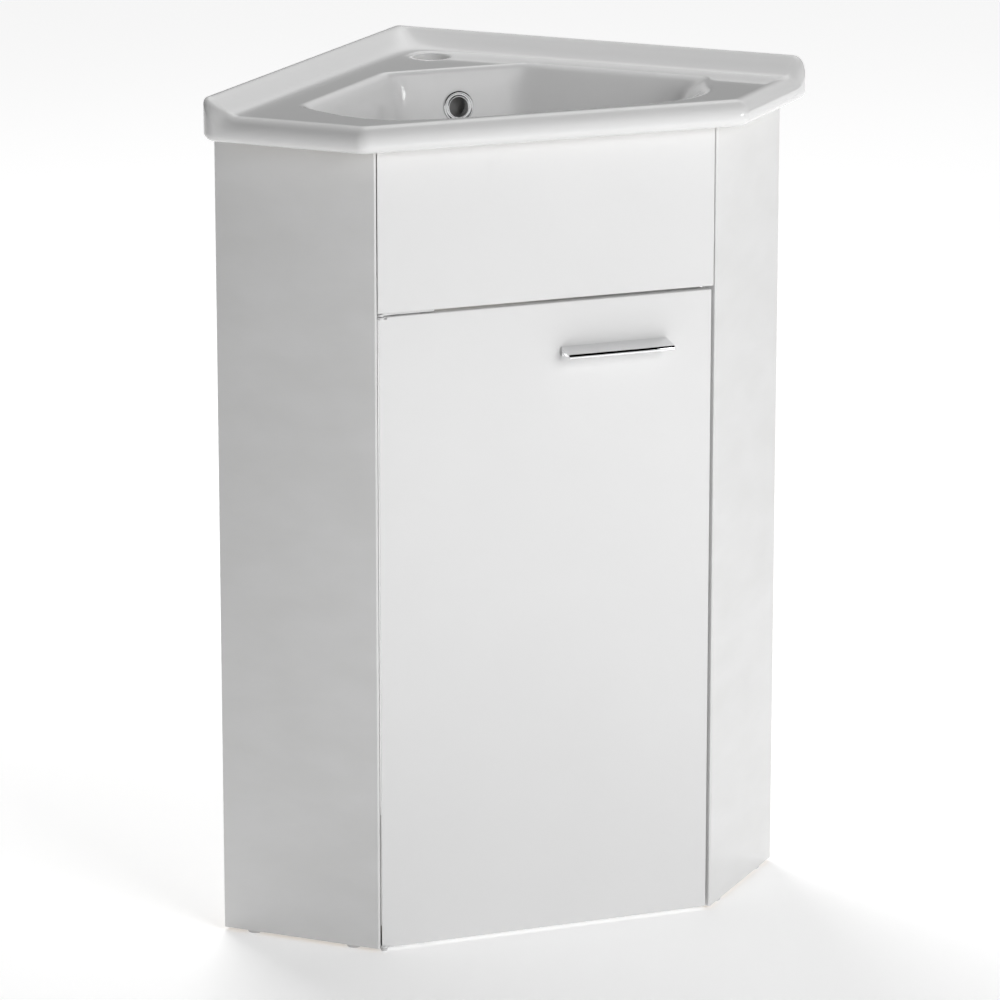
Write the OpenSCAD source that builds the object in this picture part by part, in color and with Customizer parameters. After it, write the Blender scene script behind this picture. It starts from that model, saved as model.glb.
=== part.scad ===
// Corner vanity unit: a five-sided cabinet with one side-hung door under a fixed fascia,
// and a ceramic corner basin with raised edges along both walls.
// Millimetres. z is up, the diagonal front faces -y and the room corner lies at +y.
// The origin is the middle of the footprint, on the floor.

/* [Cabinet] */
// Height of the side panels
cabinet_h = 750; // [640:1:850]
// Length of the cabinet along each wall
wall_run = 396; // [350:1:480]
// Width of each short side panel
side_depth = 160; // [130:1:200]
// Thickness of the boards
board = 16; // [15:0.5:19]
// Height of the fixed fascia above the door
fascia_h = 150; // [120:1:190]
// Space between the boards and the walls
wall_clear = 2; // [1:0.5:6]
// Width of the flat at the front of each side panel
lip_w = 2; // [1.6:0.1:3]
// Height of the floor glides
glide_h = 3; // [3:0.5:6]
// Height of the rails along the walls
rail_h = 80; // [60:1:110]

/* [Door] */
// Gap between fascia and door
head_gap = 3; // [3:0.1:4]
// Gap at the hinge side, measured along the front
hinge_gap = 1.5; // [1.4:0.1:2.2]
// Gap at the handle side, measured along the front
handle_gap = 2.9; // [2:0.1:4]
// Gap at each end of the fascia, measured along the front
fascia_gap = 0.8; // [0.4:0.1:1.4]
// How far the foot of the door is above the foot of the sides
foot_gap = 0.6; // [0.5:0.1:1.5]
// Space between the door and the boards behind it
rear_gap = 2.5; // [2:0.1:4]

/* [Handle] */
// Length of the handle
handle_l = 104; // [80:1:160]
// Distance between the two handle screws
handle_pitch = 96; // [64:32:128]
// Reach of the handle in front of the door
handle_reach = 21; // [16:0.5:22]
// Distance of the handle from the free edge of the door
handle_inset = 45; // [30:1:60]
// Distance of the handle's top from the top of the door
handle_drop = 41; // [30:1:70]

/* [Basin] */
// Length of the basin along each wall
basin_run = 425; // [400:1:520]
// Width of each short side of the basin
basin_side = 163; // [140:1:200]
// Height of the rim
rim_h = 24; // [20:0.5:30]
// Height of the raised edge above the deck
upstand_h = 15.4; // [10:0.1:22]
// Rounding of the rim's edges
rim_round = 4; // [2:0.5:6]
// Depth of the bowl below the deck
bowl_depth = 126; // [100:1:135]
// Thickness of the bowl
bowl_wall = 9; // [7:0.5:10]
// Distance from each wall to the bowl
bowl_edge = 66; // [60:1:80]
// Distance from the room corner to the flat back of the bowl
bowl_back = 164; // [158:1:180]
// Width of the deck in front of the bowl
bowl_front = 17.6; // [14:0.2:24]
// Diameter of the tap hole
tap_d = 35; // [32:0.5:36]
// Distance from the room corner to the tap hole
tap_back = 97; // [92:1:104]
// Diameter of the waste hole
waste_d = 45; // [40:0.5:46]
// Diameter of the hole behind the overflow ring
overflow_d = 24; // [22:0.5:26]
// Distance from the deck down to the overflow ring
overflow_drop = 36; // [32:1:42]

/* [Hidden] */
$fn = 64;

over = 0.5;                      // how far a cut starts outside a face
big = 600;                       // longer than any side of the basin
c45 = cos(45);
mitre = tan(22.5);

// Heights
top_z = glide_h + cabinet_h;
fascia_z = top_z - fascia_h;
door_z = glide_h + foot_gap;
door_top = fascia_z - head_gap;
deck_z = top_z + rim_h;
rail_mid = top_z - rail_h / 2;

// Plan
basin_span = (basin_run + basin_side) * c45;
corner_y = basin_span / 2;
front_span = (wall_run + side_depth) * c45;
front_y = corner_y - front_span;
half_front = (wall_run - side_depth) * c45;
inner_run = wall_run - board;
rail_in = wall_clear + board;
lip = lip_w * c45;
side_end = side_depth + lip - (board - lip) * mitre;
rear_sum = wall_run + side_depth - (board + rear_gap) / c45;
pipe_cut = 92;
free_x = half_front - lip_w - handle_gap;   // free edge of the door

// Screws
screw_r = 1.75;
head_r = 3.5;
sink_h = head_r - screw_r;
screw_fit = 0.1;

// Pivot hinges, placed from the outer left edge of the front
pivot_x = 6.2;
pivot_y = 1.2;
pin_r = 1.5;
pin_fit = 0.05;
ear_r = 3;
leaf_t = 2;
leaf_x = 10.5;
leaf_y = 3;
leaf_w = 10;
leaf_end = 58;
leaf_rows = [24, 48];
leaf_screw_l = 15;
foot_leaf_w = 14;
foot_leaf_end = 64;
foot_rows = [32, 54];
foot_screw_l = 13;
foot_x = 11;

// Panel connectors
cam_r = 7.5;
cam_t = 12;
cam_back = 24;
bolt_r = 3;
bolt_in = 10;
fit = 0.1;
cam_edge = 42;
cam_rows = [wall_clear + cam_edge, side_depth - cam_edge];
wall_screw_r = 3;
wall_near = 102;
wall_far = 90;
wall_rows = [rail_in + wall_near, inner_run - wall_far];
block_w = 34;
block_h = 90;
post_w = 28;
post_rows = [20, 52];
post_step = 9;
post_screw_l = 39;

// Catch and stops
catch_inset = 66;
catch_x = free_x - catch_inset;
catch_w = 44;
catch_body = 24;
catch_d = 15;
catch_h = 14;
catch_foot = 3;
magnet_out = 1;
strike_w = 24;
strike_h = 12;
strike_t = 1;
strike_screw_l = 12;
bumper_inset = 32;
bumper_x = free_x - bumper_inset;
bumper_r = 4;
bumper_t = 2.2;
glide_r = 7;
glide_edge = 28;
glide_rows = [wall_clear + glide_edge, side_depth - glide_edge];
glide_step = 58;
centre_glide = pipe_cut + glide_step;

// Handle
grip_base = 9;
grip_foot = 3.5;
grip_fall = 4;
grip_lip = 4.6;
grip_t = 1.6;
grip_boss_r = 4;
grip_boss_l = 7;
grip_screw_r = 2;
grip_head_r = 4;
grip_head_h = 2.4;
handle_x = free_x - handle_inset - handle_l / 2;
handle_z = door_top - handle_drop;

// Basin
crest_r = 67;
crest_w = 44;
crest_x = 52;
crest_round = 6;
arc_r = 350;
arc_y = arc_r - (basin_span - front_span) + bowl_front;
back_y = front_span - bowl_back;
shoulder = 0.2;                  // share of the depth where the steep wall starts
levels = [0.2, 0.45, 0.65, 0.8, 0.9, 0.96, 1];
floor_fall = 4;
mouth_round = 28;
round_gain = 14;
front_room = 8;                  // space between the bowl and the fascia
front_lean = 40;
front_step = board + front_room + bowl_wall - front_lean * shoulder - arc_y + arc_r;
front_turn = 60;
side_step = 6;
side_lean = 20;
side_turn = 45;
back_lean = 6;                   // degrees
back_turn = 30;
drain_y = back_y - 74;
drain_r = 33;
boss_r = 36;
boss_drop = bowl_depth + 36;
duct_w = 28;
duct_wall = 7;
duct_in = 5;
duct_out = 6;
duct_drop = bowl_depth + 12;
duct_h = 10;
flange_r = 15;
flange_t = 2;
flange_seat = 0.1;
seat_z = 0.06;                   // flat around the overflow hole, in front of the back wall
overflow_deep = bowl_wall + 7;
ring_r = 9;
ring_tail = 7;
overflow_y = back_y - overflow_drop * tan(back_lean);

// ---- frames ----

// Corner of the room: x runs along the left wall, y along the right wall
module in_corner() { translate([0, corner_y, 0]) rotate([0, 0, -135]) children(); }

// Middle of the front plane
module at_front() { translate([0, front_y, 0]) children(); }

// Outer left edge of the front plane
module at_hinge() { translate([-half_front, front_y, 0]) children(); }

module both_sides() {
    children();
    mirror([1, 0, 0]) children();
}

module turned_over() { rotate([180, 0, 0]) children(); }

// ---- shared shapes ----

// Countersunk hole with its mouth at z = 0, going down
module sunk_hole(length) {
    translate([0, 0, -length]) cylinder(r = screw_r + screw_fit, h = length + over);
    translate([0, 0, -sink_h])
        cylinder(r1 = screw_r + screw_fit, r2 = head_r + screw_fit, h = sink_h);
    cylinder(r = head_r + screw_fit, h = over);
}

// Countersunk screw, flush at z = 0 and pointing down
module sunk_screw(length) {
    difference() {
        union() {
            translate([0, 0, -length]) cylinder(r = screw_r, h = length - sink_h);
            translate([0, 0, -sink_h]) cylinder(r1 = screw_r, r2 = head_r, h = sink_h);
        }
        cross_slot(head_r * 0.6, 1);
    }
}

// Cross-shaped recess from z = 0 down
module cross_slot(reach, depth) {
    for (turn = [0, 90]) rotate([0, 0, turn])
        translate([-reach, -0.4, -depth]) cube([reach * 2, 0.8, depth + over]);
}

// Rectangle with rounded corners
module soft_rect(w, h, r) {
    translate([r, 0]) square([w - 2 * r, h]);
    translate([0, r]) square([w, h - 2 * r]);
    for (x = [r, w - r], y = [r, h - r]) translate([x, y]) circle(r);
}

// ---- cabinet ----

module left_board() {
    difference() {
        in_corner() translate([0, 0, glide_h]) linear_extrude(cabinet_h) polygon([
            [inner_run, wall_clear], [wall_run, wall_clear], [wall_run, side_depth],
            [wall_run - lip, side_depth + lip], [inner_run, side_end]]);
        bolt_places() translate([0, 0, -over])
            cylinder(r = bolt_r + fit, h = bolt_in + fit + over);
    }
}

// Where a bolt enters the left board, with z pointing into the board
module bolt_places() {
    in_corner() {
        for (y = cam_rows) translate([inner_run, y, glide_h + board / 2])
            rotate([0, 90, 0]) children();
        translate([inner_run, wall_clear + board / 2, rail_mid]) rotate([0, 90, 0]) children();
    }
}

// Middle of each lock's open face in the left half, with z pointing into the wood
module lock_places(bottom) {
    in_corner() {
        if (bottom) for (y = cam_rows) translate([inner_run - cam_back, y, glide_h]) children();
        if (!bottom) translate([inner_run - cam_back, rail_in, rail_mid])
            rotate([90, 0, 0]) children();
    }
}

module lock_cuts(bottom) {
    lock_places(bottom) translate([0, 0, -over]) cylinder(r = cam_r + fit, h = cam_t + over + fit);
    bolt_places() translate([0, 0, -cam_back]) cylinder(r = bolt_r + fit, h = cam_back + over);
}

module bottom_panel() {
    difference() {
        in_corner() translate([0, 0, glide_h]) linear_extrude(board) polygon([
            [pipe_cut, wall_clear], [inner_run, wall_clear],
            [inner_run, rear_sum - inner_run], [rear_sum - inner_run, inner_run],
            [wall_clear, inner_run], [wall_clear, pipe_cut]]);
        both_sides() lock_cuts(true);
        foot_leaf_places() sunk_hole(foot_screw_l + over);
        catch_places() sunk_hole(foot_screw_l + over);
    }
}

module fascia_panel() {
    start = half_front - lip_w - fascia_gap;
    difference() {
        at_front() translate([0, 0, fascia_z]) linear_extrude(fascia_h) polygon([
            [-start, 0], [start, 0],
            [start - board * mitre, board], [board * mitre - start, board]]);
        head_leaf_places() sunk_hole(leaf_screw_l + over);
    }
}

// Left rail, or with a start further in the one that butts against it
module rail(start, shift) {
    difference() {
        in_corner() translate([start, wall_clear, top_z - rail_h])
            cube([inner_run - start, board, rail_h]);
        in_corner() for (x = wall_rows) translate([x, wall_clear - over, rail_mid])
            rotate([-90, 0, 0]) cylinder(r = wall_screw_r, h = board + 2 * over);
        lock_cuts(false);
        post_places(shift) sunk_hole(post_screw_l + over);
    }
}

module left_top_rail() rail(wall_clear, 0);

module right_top_rail() mirror([1, 0, 0]) rail(rail_in, post_step);

// Screw heads on the corner block that hold the left rail
module post_places(shift) {
    for (up = post_rows) in_corner()
        translate([rail_in + post_w / 2, rail_in + post_w, top_z - rail_h + up + shift])
            rotate([-90, 0, 0]) children();
}

module corner_block() {
    difference() {
        in_corner() translate([rail_in, rail_in, top_z - rail_h + 4])
            cube([post_w, post_w, rail_h - 8]);
        post_places(0) sunk_hole(post_screw_l + over);
        mirror([1, 0, 0]) post_places(post_step) sunk_hole(post_screw_l + over);
    }
}

module corner_screws() {
    post_places(0) sunk_screw(post_screw_l);
    mirror([1, 0, 0]) post_places(post_step) sunk_screw(post_screw_l);
}

// Three-sided blocks glued into the angles between fascia and side panels
module fascia_blocks() {
    both_sides() at_hinge() translate([board * mitre, board, fascia_z + (fascia_h - block_h) / 2])
        linear_extrude(block_h) polygon([[0, 0], [block_w, 0], [-block_w * c45, block_w * c45]]);
}

module cam_lock() {
    difference() {
        cylinder(r = cam_r, h = cam_t);
        turned_over() cross_slot(cam_r * 0.6, 2);
        translate([0, 0, board / 2]) rotate([0, 90, 0])
            cylinder(r = bolt_r + fit, h = cam_r + over);
    }
}

module cam_locks() {
    both_sides() {
        lock_places(true) cam_lock();
        lock_places(false) cam_lock();
    }
}

// Bolts with a thin tip that reaches into the lock
module cam_bolts() {
    both_sides() bolt_places() {
        translate([0, 0, cam_r - cam_back + 1]) cylinder(r = bolt_r, h = bolt_in + cam_back - cam_r - 1);
        translate([0, 0, 3 - cam_back]) cylinder(r = bolt_r * 0.6, h = cam_r);
    }
}

module floor_glides() {
    both_sides() in_corner() for (y = glide_rows)
        translate([inner_run + board / 2, y, 0]) glide();
    in_corner() translate([centre_glide, centre_glide, 0]) glide();
}

module glide() {
    cylinder(r1 = glide_r - 1, r2 = glide_r, h = 1);
    translate([0, 0, 1]) cylinder(r = glide_r, h = glide_h - 1);
}

// ---- pivot hinges ----

// Flat leaf with an ear around the pivot, seen from above
module leaf_plan(extra) {
    translate([leaf_x - extra, leaf_y - extra])
        square([leaf_end - leaf_x + 2 * extra, leaf_w + 2 * extra]);
    translate([pivot_x, pivot_y]) circle(ear_r + extra);
    polygon([[pivot_x, pivot_y - extra], [leaf_x + 8, leaf_y - extra],
        [leaf_x - extra, leaf_y + leaf_w * 0.6], [pivot_x - extra, pivot_y + ear_r - 0.2]]);
}

module leaf_body() {
    difference() {
        linear_extrude(leaf_t) leaf_plan(0);
        translate([pivot_x, pivot_y, -over]) cylinder(r = pin_r + pin_fit, h = leaf_t + 2 * over);
    }
}

// Screw heads of the leaf under the fascia
module head_leaf_places() {
    at_hinge() for (x = leaf_rows) translate([x, leaf_y + leaf_w / 2, fascia_z - leaf_t])
        turned_over() children();
}

// Screw heads of the two leaves let into the door
module door_leaf_places() {
    at_hinge() for (x = leaf_rows) {
        translate([x, leaf_y + leaf_w / 2, door_top]) children();
        translate([x, leaf_y + leaf_w / 2, door_z]) turned_over() children();
    }
}

// Screw heads of the leaf under the bottom panel
module foot_leaf_places() {
    at_hinge() for (y = foot_rows) translate([foot_x, y, glide_h - leaf_t])
        turned_over() children();
}

module upper_frame_leaf() {
    difference() {
        at_hinge() translate([0, 0, fascia_z - leaf_t]) leaf_body();
        head_leaf_places() sunk_hole(leaf_screw_l);
    }
}

module lower_frame_leaf() {
    difference() {
        at_hinge() translate([0, 0, glide_h - leaf_t]) difference() {
            linear_extrude(leaf_t) {
                translate([pivot_x, pivot_y]) circle(ear_r);
                polygon([[pivot_x, pivot_y - ear_r * 0.4], [foot_x + foot_leaf_w / 2, leaf_y + leaf_w],
                    [foot_x + foot_leaf_w / 2, foot_leaf_end], [foot_x - foot_leaf_w / 2, foot_leaf_end],
                    [foot_x - foot_leaf_w / 2, leaf_y + leaf_w], [pivot_x - ear_r * 0.8, pivot_y + 1]]);
            }
            translate([pivot_x, pivot_y, -over])
                cylinder(r = pin_r + pin_fit, h = leaf_t + 2 * over);
        }
        foot_leaf_places() sunk_hole(foot_screw_l);
    }
}

module frame_leaf_screws() {
    head_leaf_places() sunk_screw(leaf_screw_l);
    foot_leaf_places() sunk_screw(foot_screw_l);
}

module upper_door_leaf() {
    difference() {
        at_hinge() translate([0, 0, door_top - leaf_t]) leaf_body();
        door_leaf_places() sunk_hole(leaf_screw_l);
    }
}

module lower_door_leaf() {
    difference() {
        at_hinge() translate([0, 0, door_z]) leaf_body();
        door_leaf_places() sunk_hole(leaf_screw_l);
    }
}

module door_leaf_screws() door_leaf_places() sunk_screw(leaf_screw_l);

module upper_pivot_pin() {
    at_hinge() translate([pivot_x, pivot_y, door_top - leaf_t + 0.2])
        cylinder(r = pin_r, h = leaf_t * 2 + head_gap - leaf_t - 0.5);
}

module lower_pivot_pin() {
    at_hinge() translate([pivot_x, pivot_y, glide_h - leaf_t + 0.2])
        cylinder(r = pin_r, h = leaf_t * 2 + foot_gap - 0.4);
}

// ---- catch ----

module catch_places() {
    at_front() for (side = [-1, 1])
        translate([catch_x + side * (catch_w + catch_body) / 4,
            board + rear_gap + catch_d / 2, glide_h + board + catch_foot]) children();
}

module catch_housing() {
    difference() {
        at_front() translate([catch_x, board + rear_gap, glide_h + board]) difference() {
            union() {
                translate([-catch_w / 2, 0, 0]) cube([catch_w, catch_d, catch_foot]);
                translate([-catch_body / 2, 0, 0]) cube([catch_body, catch_d, catch_h]);
            }
            translate([-catch_body / 2 + 2, -over, 2])
                cube([catch_body - 4, catch_d - 3 + over, catch_h - 4]);
        }
        catch_places() sunk_hole(foot_screw_l);
    }
}

module catch_magnet() {
    at_front() translate([catch_x - catch_body / 2 + 2.1, board + rear_gap - magnet_out,
        glide_h + board + 2.1])
        cube([catch_body - 4.2, catch_d - 3.1 + magnet_out, catch_h - 4.2]);
}

module catch_screws() catch_places() sunk_screw(foot_screw_l);

module strike_place() {
    at_front() translate([catch_x, board + strike_t, glide_h + board + catch_h / 2])
        rotate([-90, 0, 0]) children();
}

module strike_plate() {
    difference() {
        strike_place() translate([-strike_w / 2, -strike_h / 2, -strike_t])
            cube([strike_w, strike_h, strike_t]);
        strike_place() sunk_hole(strike_screw_l);
    }
}

module strike_screw() strike_place() sunk_screw(strike_screw_l);

// ---- door ----

module door_panel() {
    start = lip_w + hinge_gap - half_front;
    end = free_x;
    difference() {
        at_front() translate([0, 0, door_z]) linear_extrude(door_top - door_z) polygon([
            [start + 0.8, 0], [end - 0.8, 0], [end - 0.8 * mitre, 0.8], [end - board * mitre, board],
            [start + board * mitre, board], [start + 0.8 * mitre, 0.8]]);
        at_hinge() {
            translate([0, 0, door_top - leaf_t]) linear_extrude(leaf_t + over) leaf_plan(fit);
            translate([0, 0, door_z - over]) linear_extrude(leaf_t + over) leaf_plan(fit);
        }
        door_leaf_places() sunk_hole(leaf_screw_l + over);
        strike_place() sunk_hole(strike_screw_l + over);
        handle_places() translate([0, 0, -over]) cylinder(r = grip_screw_r + 0.25, h = board + 2 * over);
    }
}

module door_bumpers() {
    at_front() for (side = [-1, 1])
        translate([side * bumper_x, board, glide_h + board / 2]) rotate([-90, 0, 0]) {
            cylinder(r = bumper_r, h = bumper_t - 1);
            translate([0, 0, bumper_t - 1]) cylinder(r1 = bumper_r, r2 = bumper_r - 1, h = 1);
        }
}

// Handle screws on the face of the door, with z pointing into the door
module handle_places() {
    at_front() for (side = [-1, 1])
        translate([handle_x + side * handle_pitch / 2, 0, handle_z - grip_base * 0.6])
            rotate([-90, 0, 0]) children();
}

// Side view of the grip: x is the reach in front of the door
module grip_profile() {
    tip = handle_reach - grip_t;
    polygon([[0, 0], [tip + 0.4, -grip_fall + 0.2], [tip + 0.4, -grip_fall - grip_t],
        [grip_foot, -grip_t - 1.2], [grip_foot, -grip_base], [0, -grip_base]]);
    translate([tip, -grip_fall - grip_lip + 0.2]) soft_rect(grip_t, grip_lip, 0.7);
}

module handle() {
    difference() {
        union() {
            at_front() translate([handle_x - handle_l / 2, 0, handle_z])
                rotate([90, 0, -90]) mirror([0, 0, 1]) linear_extrude(handle_l) grip_profile();
            handle_places() translate([0, 0, -grip_boss_l]) cylinder(r = grip_boss_r, h = grip_boss_l);
        }
        handle_places() translate([0, 0, 0.5 - grip_boss_l])
            cylinder(r = grip_screw_r + 0.05, h = grip_boss_l);
    }
}

module handle_screws() {
    handle_places() {
        translate([0, 0, 1 - grip_boss_l]) cylinder(r = grip_screw_r, h = board + grip_boss_l - 1);
        translate([0, 0, board]) difference() {
            cylinder(r = grip_head_r, h = grip_head_h);
            translate([0, 0, grip_head_h]) cross_slot(grip_head_r * 0.6, 1.2);
        }
    }
}

// ---- basin ----

// Rim seen from its end: a block whose far edges are rounded
module rim_slice(reach, high, r) {
    translate([0, big, 0]) rotate([90, 0, 0]) linear_extrude(2 * big)
        translate([-big, 0]) soft_rect(reach + big, high, r);
}

// Slab under the deck
module rim_slab() {
    intersection() {
        cube([big, big, rim_h]);
        rim_slice(basin_run, rim_h, rim_round);
        mirror([1, -1, 0]) rim_slice(basin_run, rim_h, rim_round);
        rotate([0, 0, 45]) rim_slice(basin_span, rim_h, rim_round);
    }
}

// Raised edge along the left wall with a hollow slope down to the deck
module upstand() {
    foot = rim_round + 1;
    intersection() {
        rotate([90, 0, 90]) linear_extrude(basin_run + over) difference() {
            translate([0, foot]) square([crest_w, rim_h + upstand_h - foot]);
            translate([crest_x, rim_h + crest_r - 0.7]) circle(crest_r);
        }
        translate([0, 0, -crest_round]) rim_slice(basin_run, rim_h + upstand_h + crest_round, crest_round);
    }
}

// Share of the inward turn at a share of the depth
function turned(share, power) = 1 - sqrt(1 - pow(share, power));

// Outline of the bowl at a share of its depth; zero is the mouth in the deck
module bowl_plan(share, skin) {
    steps = share > 0 ? 1 : 0;
    front_in = steps * front_step + front_lean * share + front_turn * turned(share, 4);
    side_in = steps * side_step + side_lean * share + side_turn * turned(share, 4);
    back_in = share * (bowl_depth - floor_fall) * tan(back_lean) + back_turn * turned(share, 8);
    r = mouth_round + round_gain * share;
    offset(r = r + skin, $fn = 40) offset(delta = -r) intersection() {
        translate([0, arc_y]) circle(arc_r - front_in, $fn = 120);
        translate([0, front_span]) rotate(-135)
            translate([bowl_edge + side_in, bowl_edge + side_in]) square(big);
        translate([-big / 2, -100]) square([big, 100 + back_y - back_in]);
    }
}

module bowl_slice(share, drop, skin, thick) {
    translate([0, 0, -drop]) linear_extrude(thick) bowl_plan(share, skin);
}

// Flared mouth of the bowl
module bowl_mouth() {
    hull() {
        bowl_slice(0, 0, 0, over);
        bowl_slice(shoulder, shoulder * (bowl_depth - floor_fall) + 2, -0.6, 0.02);
    }
}

// Space below the mouth, or with a skin the outside of the bowl
module bowl_core(skin) {
    hull() {
        if (skin > 0) bowl_slice(shoulder * 0.9, rim_h - 2, skin, 1);
        if (skin == 0) bowl_slice(shoulder, shoulder * (bowl_depth - floor_fall), 0, 1);
        for (share = levels) bowl_slice(share, share * (bowl_depth - floor_fall + skin), skin, 0.02);
        translate([0, drain_y, -bowl_depth - skin]) cylinder(r = drain_r + skin, h = 0.02);
    }
}

// Cast channel from the overflow hole down to the waste hole
module duct(skin) {
    wide = duct_w + 2 * skin;
    end = back_y + bowl_wall + duct_out + skin;
    start = skin > 0 ? back_y - 20 : back_y + bowl_wall - duct_in;
    translate([-wide / 2, start, -duct_drop - duct_h - skin])
        cube([wide, end - start, duct_drop + duct_h + skin - (skin > 0 ? rim_h - 1 : 20)]);
    translate([-wide / 2, drain_y, -duct_drop - duct_h - skin])
        cube([wide, end - drain_y, duct_h + 2 * skin]);
}

module basin() {
    translate([0, 0, deck_z]) difference() {
        union() {
            in_corner() translate([0, 0, -rim_h]) {
                rim_slab();
                upstand();
                mirror([1, -1, 0]) upstand();
            }
            at_front() {
                bowl_core(bowl_wall);
                translate([0, drain_y, -boss_drop])
                    cylinder(r = boss_r, h = boss_drop - bowl_depth - bowl_wall / 3);
                duct(duct_wall);
            }
        }
        at_front() {
            bowl_mouth();
            bowl_core(0);
            duct(0);
            translate([0, drain_y, -boss_drop - over]) cylinder(r = waste_d / 2, h = 40);
            translate([0, front_span - tap_back, -rim_h - over])
                cylinder(r = tap_d / 2, h = rim_h + 2 * over);
            translate([0, overflow_y, -overflow_drop]) rotate([90 - back_lean, 0, 0]) {
                translate([0, 0, -overflow_deep])
                    cylinder(r = overflow_d / 2, h = overflow_deep + flange_t * 2);
                translate([0, 0, seat_z]) cylinder(r = flange_r + fit * 4, h = flange_t * 2);
            }
        }
    }
}

module overflow_ring() {
    at_front() translate([0, overflow_y, deck_z - overflow_drop]) rotate([90 - back_lean, 0, 0])
        difference() {
            union() {
                translate([0, 0, flange_seat]) cylinder(r = flange_r, h = flange_t - 1);
                translate([0, 0, flange_seat + flange_t - 1])
                    cylinder(r1 = flange_r, r2 = flange_r - 1, h = 1);
                translate([0, 0, -ring_tail])
                    cylinder(r = overflow_d / 2 - 0.2, h = ring_tail + flange_seat + over);
            }
            translate([0, 0, -ring_tail - over])
                cylinder(r = ring_r, h = ring_tail + flange_seat + flange_t + 2 * over);
        }
}

// ---- pieces ----

color("white") left_board();  // left_side_panel
color("white") mirror([1, 0, 0]) left_board();  // right_side_panel
color("whitesmoke") bottom_panel();
color("white") fascia_panel();
color("whitesmoke") left_top_rail();
color("whitesmoke") right_top_rail();
color("burlywood") corner_block();
color("silver") corner_screws();
color("burlywood") fascia_blocks();
color("darkgray") cam_locks();
color("silver") cam_bolts();
color("lightgray") floor_glides();
color("ivory") basin();
color("lightsteelblue") overflow_ring();
color("silver") upper_frame_leaf();
color("silver") lower_frame_leaf();
color("silver") frame_leaf_screws();
color("silver") lower_pivot_pin();
color("gainsboro") catch_housing();
color("dimgray") catch_magnet();
color("silver") catch_screws();
color("white") door_panel();
color("lightgray") door_bumpers();
color("lightsteelblue") handle();
color("silver") handle_screws();
color("silver") upper_door_leaf();
color("silver") lower_door_leaf();
color("silver") door_leaf_screws();
color("silver") upper_pivot_pin();
color("silver") strike_plate();
color("silver") strike_screw();
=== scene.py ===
"""Corner vanity unit, dressed: a glazed corner basin on a white five-sided cabinet.

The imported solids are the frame. Boards, grip, basin, ring, glides and door stops are new surfaces
that stand for their solids; the rest keep their solids and get finishes.
Lengths in the classes are millimetres, in the part's own frame: x to the right, y towards the
room corner, z up. Meshes are written in metres.
"""

import logging
import math
from collections.abc import Iterable
from dataclasses import dataclass, field
from enum import Enum

import bpy
import numpy as np
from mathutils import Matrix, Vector
from mathutils.geometry import tessellate_polygon


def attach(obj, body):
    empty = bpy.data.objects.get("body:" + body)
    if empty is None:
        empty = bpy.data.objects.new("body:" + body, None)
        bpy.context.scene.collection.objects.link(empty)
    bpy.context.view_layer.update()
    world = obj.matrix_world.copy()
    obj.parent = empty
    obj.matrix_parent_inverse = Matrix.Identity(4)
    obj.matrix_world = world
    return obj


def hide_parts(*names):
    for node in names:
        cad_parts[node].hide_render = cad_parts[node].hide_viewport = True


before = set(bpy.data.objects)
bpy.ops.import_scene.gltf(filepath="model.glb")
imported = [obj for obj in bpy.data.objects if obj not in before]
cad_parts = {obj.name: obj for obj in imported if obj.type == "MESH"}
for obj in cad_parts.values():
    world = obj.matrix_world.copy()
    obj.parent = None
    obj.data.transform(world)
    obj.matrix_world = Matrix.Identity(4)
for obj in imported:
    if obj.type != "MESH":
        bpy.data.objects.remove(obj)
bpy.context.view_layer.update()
LOG = logging.getLogger("vanity")
Array = np.ndarray
Tree = bpy.types.NodeTree
Node = bpy.types.Node
Socket = bpy.types.NodeSocket
Object = bpy.types.Object
Material = bpy.types.Material
Mesh = bpy.types.Mesh
Triple = tuple[float, float, float]
Patch = tuple[tuple[int, int], tuple[int, int]]

MM = 0.001
C45 = math.cos(math.pi / 4)
MITRE = math.tan(math.pi / 8)
TURN = 2 * math.pi
X_AXIS, Y_AXIS, Z_AXIS = np.eye(3)
OUTLINE_POINTS = 7200    # points of an outline when it is read off along rays
LEAST_ARC = 0.5          # radius that an inset leaves at least on a convex corner, in mm
NEAR_WALL = 0.05         # least distance to a wall that the raised edges are worked out for
SQUARELY = 0.9           # cosine above which a face looks squarely along a direction
PANEL_SHARP = 35.0       # degrees above which an edge of a front panel stays sharp
SLIGHT = 0.985           # share of a tone that a slight drift goes down to
MIX_SHARE, MIX_COLOURS, MIX_RESULT = 0, (6, 7), 2    # sockets of the mix node for colours


class Body(Enum):
    """The two rigid bodies of the part."""

    CABINET = "cabinet"
    DOOR = "door"


class Slot(Enum):
    """Names of the record's material slots."""

    LACQUER = "white_lacquer"
    CERAMIC = "glazed_white"
    CHROME = "chrome"
    GLIDE = "grey_plastic"
    RUBBER = "clear_rubber"


# ---------------------------------------------------------------- shared shapes


def ease(x: Array) -> Array:
    """Quarter of a parabola: 1 - (1 - x) squared, held at 0 and 1 outside the range."""
    return 1 - (1 - np.clip(x, 0, 1)) ** 2


def smooth_step(x: Array) -> Array:
    """Three x squared less two x cubed, held at 0 and 1 outside the range."""
    x = np.clip(x, 0, 1)
    return x * x * (3 - 2 * x)


def quarter(radius: float, steps: int) -> tuple[Array, Array]:
    """Quarter round, from its flat tangent to its upright one.

    Formula: at angle e the inset left is radius (1 - sin e), the drop is radius (1 - cos e).

    Args:
        radius: Radius of the rounding.
        steps: Number of points after the flat start.

    Returns:
        Insets and drops, the first pair being (radius, 0) and the last (0, radius).
    """
    turn = np.linspace(0, math.pi / 2, steps + 1)
    return radius * (1 - np.sin(turn)), radius * (1 - np.cos(turn))


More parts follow.
